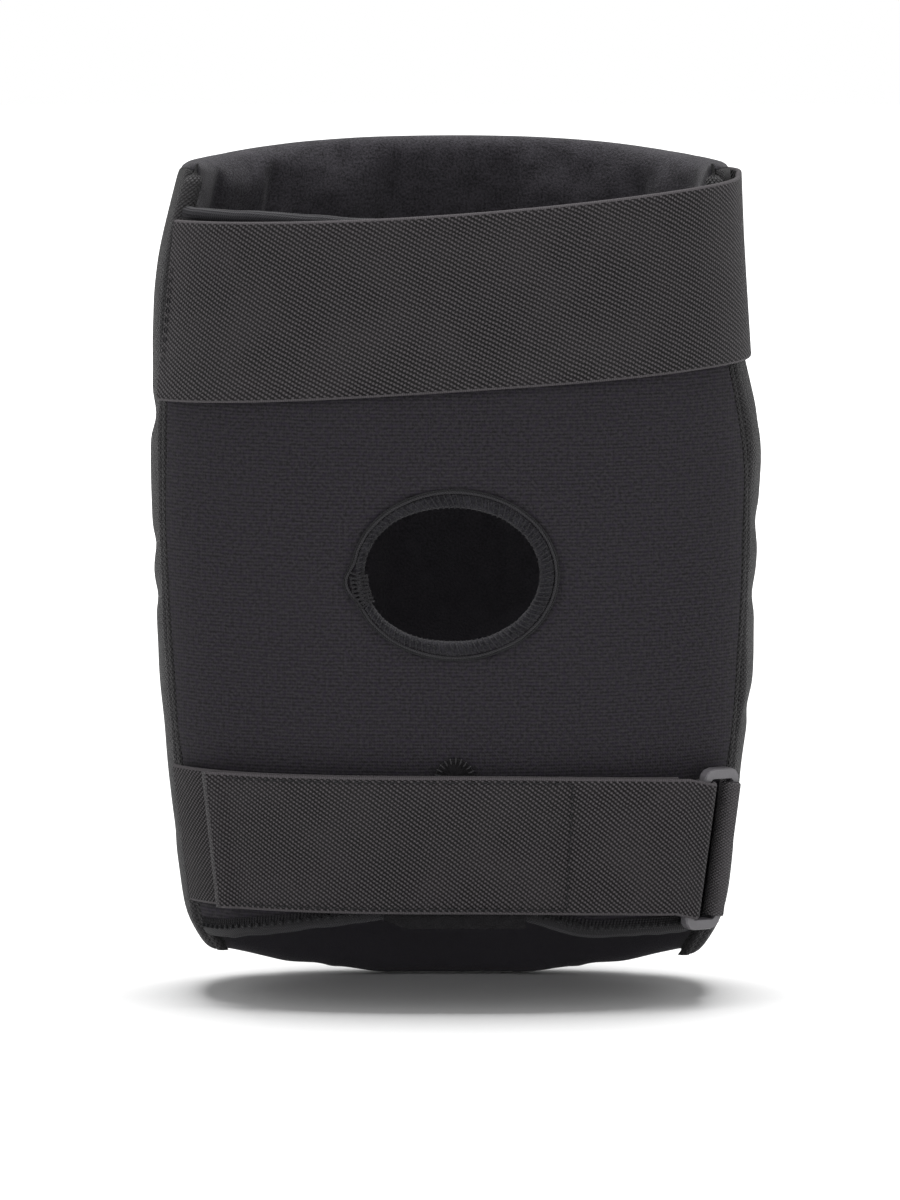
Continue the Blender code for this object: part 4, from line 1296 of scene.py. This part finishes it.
def upper_tapes():
    inset = 0.004
    low = lambda turn: upper_centre(turn) - UPPER_WIDTH / 2 + inset
    high = lambda turn: upper_centre(turn) + UPPER_WIDTH / 2 - inset
    piece = tape("upper_loop_tape", spread(20.0, 62.0, 24), low, high, LAYER_GAP, LOOP_TAPE)
    attach(piece, "thigh", "loop_tape", "upper_loop_patch")
    turns = spread(24.0, UPPER_END_TURN - 2.0, 20)
    piece = tape("upper_hook_tape", turns, low, high, TAPE_THICKNESS + 2 * LAYER_GAP, HOOK_TAPE)
    attach(piece, "upper_end", "hook_tape", "upper_hook_patch")


# ------------------------------------------------------------------ lower strap and ring


def lower_station(turn, offset):
    return wrapped_station(turn, lower_centre(turn), offset)


def bar_stations(bar, first, last, radius, steps=18):
    """Stations round one of the ring's bars, at angles from the way between the bars."""
    stations = []
    for angle in spread(first, last, steps):
        way = math.radians(angle)
        out = RING_WAY * math.cos(way) + RING_OUT * math.sin(way)
        stations.append((bar + out * radius, BAR_WAY, out))
    return stations


def lower_straps():
    """The strap's base, its turn round the ring's bar and the tail that comes back over the base."""
    profile = flat_profile(LOWER_WIDTH, STRAP_THICKNESS, 18)
    base = [lower_station(turn, STRAP_MIDDLE) for turn in spread(LOWER_FIRST_TURN, LOWER_LAST_TURN, 120)]
    piece = sweep("lower_strap_band", base, profile, BASE_ELASTIC, lift=waves(0.00015))
    bodies = ("shin", "ring", lower_station(-62.0, 0.0)[0], lower_station(-46.0, 0.0)[0])
    attach(piece, bodies, "elastic_webbing", "lower_strap")
    wrap = bar_stations(STRAP_BAR, -80.0, -280.0, BAR_RADIUS + 0.0006)
    slim = flat_profile(LOWER_WIDTH * 0.98, 0.0008, 18)
    attach(sweep("bar_wrap", wrap, slim, BASE_ELASTIC), "ring", "elastic_webbing")
    tail = bar_stations(STRAP_BAR, -90.0, -270.0, BAR_RADIUS + 0.0004 + STRAP_THICKNESS / 2)
    for turn in spread(TAIL_FIRST_TURN, TAIL_END_TURN, 130):
        lift = 0.0016 * (1 - smooth_step((TAIL_FIRST_TURN - turn) / 16.0))
        fold = TAIL_FOLD_RISE * smooth_step((TAIL_END_TURN + 6.0 - turn) / 4.0)
        tail.append(lower_station(turn, TAIL_OFFSET + lift + fold))
    piece = sweep("tail_band", tail, profile, TAIL_ELASTIC, lift=waves(0.00017))
    attach(piece, "tail", "elastic_webbing", "lower_strap_tail")
    tail_fold(profile)
    tail_end_roll()
    tail_stitches()


def tail_fold(profile):
    """The tail's end, folded under and sewn, which makes a thick square edge."""
    places, girth = profile
    under = TAIL_OFFSET + TAIL_FOLD_RISE - STRAP_THICKNESS
    stations = [lower_station(turn, under) for turn in spread(TAIL_END_TURN + 0.3, TAIL_END_TURN + 3.0, 10)]
    slim = [(s * 0.985, t * 0.9, v) for s, t, v in places]
    attach(sweep("tail_fold", stations, (slim, girth), TAIL_ELASTIC), "tail", "elastic_webbing")


def tail_end_roll():
    """The rounded fold at the very end of the tail, in a paler ribbed fabric whose paleness is a painted
    highlight along its edge.
    """
    point, way, out = lower_station(TAIL_END_TURN, TAIL_OFFSET + TAIL_FOLD_RISE - STRAP_THICKNESS / 2)
    reach = LOWER_WIDTH / 2 - 0.0002
    stations = [(point + way * height, way.cross(out), out) for height in spread(-reach, reach, 60)]
    profile = round_profile(0.0011, 12, 1.75)
    piece = sweep("tail_end_roll", stations, profile, FOLD_RIB_HIGHLIGHT, swell=ripple(0.0011, 0.05))
    attach(piece, "tail", "elastic_webbing")


def tail_stitches():
    """Two rows across the tail, at its end and by the hook tape, and a row along each edge between."""
    shape = Shape()
    top = TAIL_OFFSET + STRAP_THICKNESS / 2 + 0.0001
    reach = LOWER_WIDTH / 2 - 0.0015
    end_row = TAIL_END_TURN + 3.6
    for turn in (end_row, TAIL_SEWN_TURN):

        def across(height, turn=turn):
            point, way, out = lower_station(turn, top)
            return point + way * height, out

        stitch_row(shape, across, -reach, reach, 0.0024, 0.00024)
    for side in (-1, 1):

        def along(length, side=side):
            point, way, out = lower_station(end_row + 64.0 * length, top)
            return point + way * reach * side, out

        stitch_row(shape, along, 0.0, 1.0, 0.03, 0.00022)
    attach(shape.finish("tail_stitches", DARK_THREAD_AND_GROOVE_SHADE), "tail", "overlock_thread")


def tail_tapes():
    """Hook tape behind the tail, and the loop strip whose cut end shows below it."""
    base = STRAP_INNER + STRAP_THICKNESS + LAYER_GAP
    low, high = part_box("tail_loop_strip")
    hook_low = lambda turn: high.z + 0.0004
    hook_high = lambda turn: lower_centre(turn) + LOWER_WIDTH / 2 - 0.002
    turns = spread(TAIL_END_TURN + 8.0, TAIL_SEWN_TURN, 30)
    piece = tape("tail_hook_tape", turns, hook_low, hook_high, base, HOOK_TAPE)
    attach(piece, "tail", "hook_tape", "tail_hook_patch")
    first, last = turn_at(low.x, low.z), turn_at(high.x, low.z)
    slope = lambda turn: low.z + 0.0022 * near(turn, first, 4.0)
    piece = tape("loop_strip", spread(first, last, 16), slope, lambda turn: high.z, base, LOOP_TAPE)
    attach(piece, "shin", "loop_tape", "tail_loop_strip")


def ring_outline():
    """Places (along the fabric, across it, outward angle) round the ring, from corner to corner."""
    half = RING_WIDTH / 2 - RING_CORNER
    reach = RING_LENGTH / 2 - RING_CORNER
    corners = ((half, reach, 0), (-half, reach, 90), (-half, -reach, 180), (half, -reach, 270))
    places = []
    for (x, z, start), (next_x, next_z, _) in zip(corners, corners[1:] + corners[:1]):
        for step in range(4):
            angle = math.radians(start + 30 * step)
            places.append((x + RING_CORNER * math.cos(angle), z + RING_CORNER * math.sin(angle), angle))
        way = math.radians(start + 90)
        aside, ahead = RING_CORNER * math.cos(way), RING_CORNER * math.sin(way)
        end_x, end_z, begin_x, begin_z = x + aside, z + ahead, next_x + aside, next_z + ahead
        for share in (0.15, 0.35, 0.5, 0.65, 0.85):
            places.append((end_x + (begin_x - end_x) * share, end_z + (begin_z - end_z) * share, way))
    return places


def strap_ring():
    """A moulded rectangle: two round bars in the fabric and two flat bevelled end bars."""
    centre = (TAB_BAR + STRAP_BAR) / 2
    reach = RING_LENGTH / 2 - RING_CORNER
    rings = []
    for x, z, angle in ring_outline():
        point = centre + RING_WAY * x + BAR_WAY * z
        away = RING_WAY * math.cos(angle) + BAR_WAY * math.sin(angle)
        flat = 0.28 * smooth_step((abs(z) - reach + 0.0005) / 0.0015)
        quarter = ((1, 0.35 + flat), (0.55 + flat, 0.9))
        half_section = quarter + tuple((-s, t) for s, t in reversed(quarter))
        section = half_section + tuple((s, -t) for s, t in reversed(half_section))
        rings.append([point + (away * s + RING_OUT * t) * BAR_RADIUS for s, t in section])
    shape = Shape()
    shape.add(rings, lambda i, j: (0.001 * i, 0.001 * j), closed=True)
    attach(shape.finish("moulded_ring", RING_PLASTIC, 25.0), "ring", "ring_plastic", "strap_ring")


def ring_tab():
    """Webbing folded round the ring's outer bar, with its ends sewn towards the seam."""
    radius = BAR_RADIUS + 0.0008 + TAB_THICKNESS / 2
    seam = sleeve(-SEAM_TURN - 1.2, TAB_BAR.z)
    low_end = seam + RING_OUT * TAB_THICKNESS * 0.6
    high_end = seam + RING_OUT * TAB_THICKNESS * 1.7
    under = low_end.lerp(TAB_BAR - RING_OUT * radius, 0.5)
    stations = [(low_end, BAR_WAY, -RING_OUT), (under, BAR_WAY, -RING_OUT)]
    stations += bar_stations(TAB_BAR, -90.0, 90.0, radius, 16)
    start = TAB_BAR + RING_OUT * radius
    for share in (0.35, 0.7, 1.0):
        stations.append((start.lerp(high_end, share), BAR_WAY, RING_OUT))
    profile = flat_profile(TAB_WIDTH, TAB_THICKNESS, 16)
    piece = sweep("tab_loop", stations, profile, WEBBING, lift=waves(0.0001))
    attach(piece, "shin", "coarse_nylon", "ring_tab")


# ------------------------------------------------------------------ hard cap

# Shares of the way from the cap's middle to its rim, closer together at the dome's foot and the rim
CAP_REACHES = (0.02, 0.10, 0.20, 0.30, 0.40, 0.50, 0.58, 0.64, 0.68, 0.71)
CAP_REACHES += (0.74, 0.77, 0.80, 0.84, 0.88, 0.92, 0.955, 0.98, 0.995, 1.0)


def knee_cap():
    """A domed shell with a flat flange, a raised rib round the dome and a rolled rim."""
    rings = []
    for angle in round_angles(72):
        outer, inner = [], []
        for reach in CAP_REACHES:
            across = reach * signed_power(math.cos(angle), CAP_ROUNDNESS)
            up = reach * signed_power(math.sin(angle), CAP_ROUNDNESS)
            rib = 0.0008 * near(reach, 0.71, 0.05) - 0.0005 * near(reach, 0.64, 0.04)
            rim = 0.0004 * near(reach, 0.97, 0.04) - 0.0009 * smooth_step((reach - 0.975) / 0.025)
            base = CAP_RIM_OFFSET + CAP_DOME * (1 - smooth_step(reach / CAP_FLANGE))
            x, z = across * CAP_HALF_WIDTH, CAP_CENTRE_Z + up * CAP_HALF_HEIGHT
            outer.append(face_point(x, z, base + CAP_THICKNESS + rib + rim, 1))
            inner.append(face_point(x, z, base, 1))
        rings.append(outer + inner[::-1])
    shape = Shape()
    shape.add([list(loop) for loop in zip(*rings)], lambda i, j: (0.002 * i, 0.002 * j))
    attach(shape.finish("cap_shell", CAP_PLASTIC, 35.0), "shin", "cap_plastic", "knee_cap")
    for name, node in frame["nodes"].items():
        if name.startswith(("cap_rivet", "cap_washer")):
            node.data.materials.clear()
            node.data.materials.append(STEEL)


# ------------------------------------------------------------------ stage, light and camera

FLOOR_RADIUS = 4.0
ROOM_LIGHT = 0.46
WHITE = (1.0, 1.0, 1.0, 1.0)
# Name, place, size in metres and power in watts
LAMPS = (
    ("overhead", (0.0, 0.20, 1.75), 1.1, 46.0),
    ("left", (-1.3, -1.5, 0.9), 1.2, 17.0),
    ("right", (1.5, -1.2, 0.8), 1.3, 14.0),
)


def linked(name, data, place):
    """A new object in the scene."""
    made = bpy.data.objects.new(name, data)
    made.location = place
    bpy.context.scene.collection.objects.link(made)
    return made


def disc(name, radius, segments, place):
    """A flat round piece of the stage."""
    circle = bmesh.new()
    bmesh.ops.create_circle(circle, cap_ends=True, radius=radius, segments=segments)
    mesh = bpy.data.meshes.new(name)
    circle.to_mesh(mesh)
    circle.free()
    made = linked(name, mesh, place)
    return made


def paper():
    """White paper that glows more and more away from the middle, so that it fades into the room."""
    paint = Paint("paper", 0.1)
    grain = paint.noise(paint.object_place(), 0.002, 3.0)
    tone = paint.colour(grain, (0.90, 0.90, 0.90), (0.94, 0.94, 0.94))
    far = paint.node("VectorMath", {0: paint.object_place()}, operation="LENGTH").outputs["Value"]
    paint.put(paint.shader.inputs["Emission Color"], WHITE)
    paint.put(paint.shader.inputs["Emission Strength"], paint.ramp(far, 0.5, 1.6))
    return paint.finish(tone, 0.9, grain, 0.00005)


def room():
    """A world that lights the guard evenly and looks plain white behind it."""
    world = bpy.data.worlds.new("room")
    world.use_nodes = True
    nodes = Nodes(world.node_tree)
    sky = world.node_tree.nodes["Background"]
    seen = nodes.node("LightPath").outputs["Is Camera Ray"]
    nodes.put(sky.inputs["Color"], WHITE)
    nodes.put(sky.inputs["Strength"], nodes.times(seen, 1.0 - ROOM_LIGHT, ROOM_LIGHT))
    bpy.context.scene.world = world


def studio():
    """A pale floor in a bright room, and three soft lights. Only the overhead one lights the floor."""
    floor = disc("paper_floor", FLOOR_RADIUS, 96, (0.0, 0.0, 0.0))
    floor.data.materials.append(paper())
    # An unseen card inside the sleeve keeps the overhead light off the floor below it
    card = disc("shading_card", 1.0, 48, (0.0, MIDDLE_Y - 0.004, 0.060))
    card.scale = (0.068, 0.046, 1.0)
    for ray in ("camera", "diffuse", "glossy", "transmission", "volume_scatter"):
        setattr(card, "visible_" + ray, False)
    shaded = bpy.data.collections.new("shaded_from_the_sides")
    shaded.objects.link(floor)
    shaded.collection_objects[0].light_linking.link_state = "EXCLUDE"
    middle = Vector((0.0, 0.0, HEIGHT / 2))
    for name, place, size, power in LAMPS:
        light = bpy.data.lights.new(name, "AREA")
        light.size = size
        light.energy = power
        lamp = linked(name, light, place)
        lamp.rotation_euler = (middle - lamp.location).to_track_quat("-Z", "Y").to_euler()
        if name != "overhead":
            lamp.light_linking.receiver_collection = shaded
    room()
    bpy.context.scene.view_settings.view_transform = "Standard"


def camera():
    """Nearly level with the guard, straight behind the knee, from three metres."""
    distance = 3.0
    elevation = math.radians(6.0)
    frame_height = 0.330
    back = Vector((0.0, -math.cos(elevation), math.sin(elevation)))
    lens = bpy.data.cameras.new("camera")
    lens.sensor_width = 36.0
    lens.lens = lens.sensor_width * distance / frame_height
    lens.shift_x = -5.0 / 1200.0
    lens.shift_y = -17.0 / 1200.0
    lens.clip_start = 0.1
    eye = linked("camera", lens, Vector((0.0, MIDDLE_Y, 0.1125)) + back * distance)
    eye.rotation_euler = (-back).to_track_quat("-Z", "Y").to_euler()
    bpy.context.scene.camera = eye


padded_front()
back_panel()
hole_binding()
top_hem()
bottom_hem()
seam_pipings()
stitch_patch()
upper_strap()
upper_tapes()
lower_straps()
tail_tapes()
strap_ring()
ring_tab()
knee_cap()
studio()
camera()
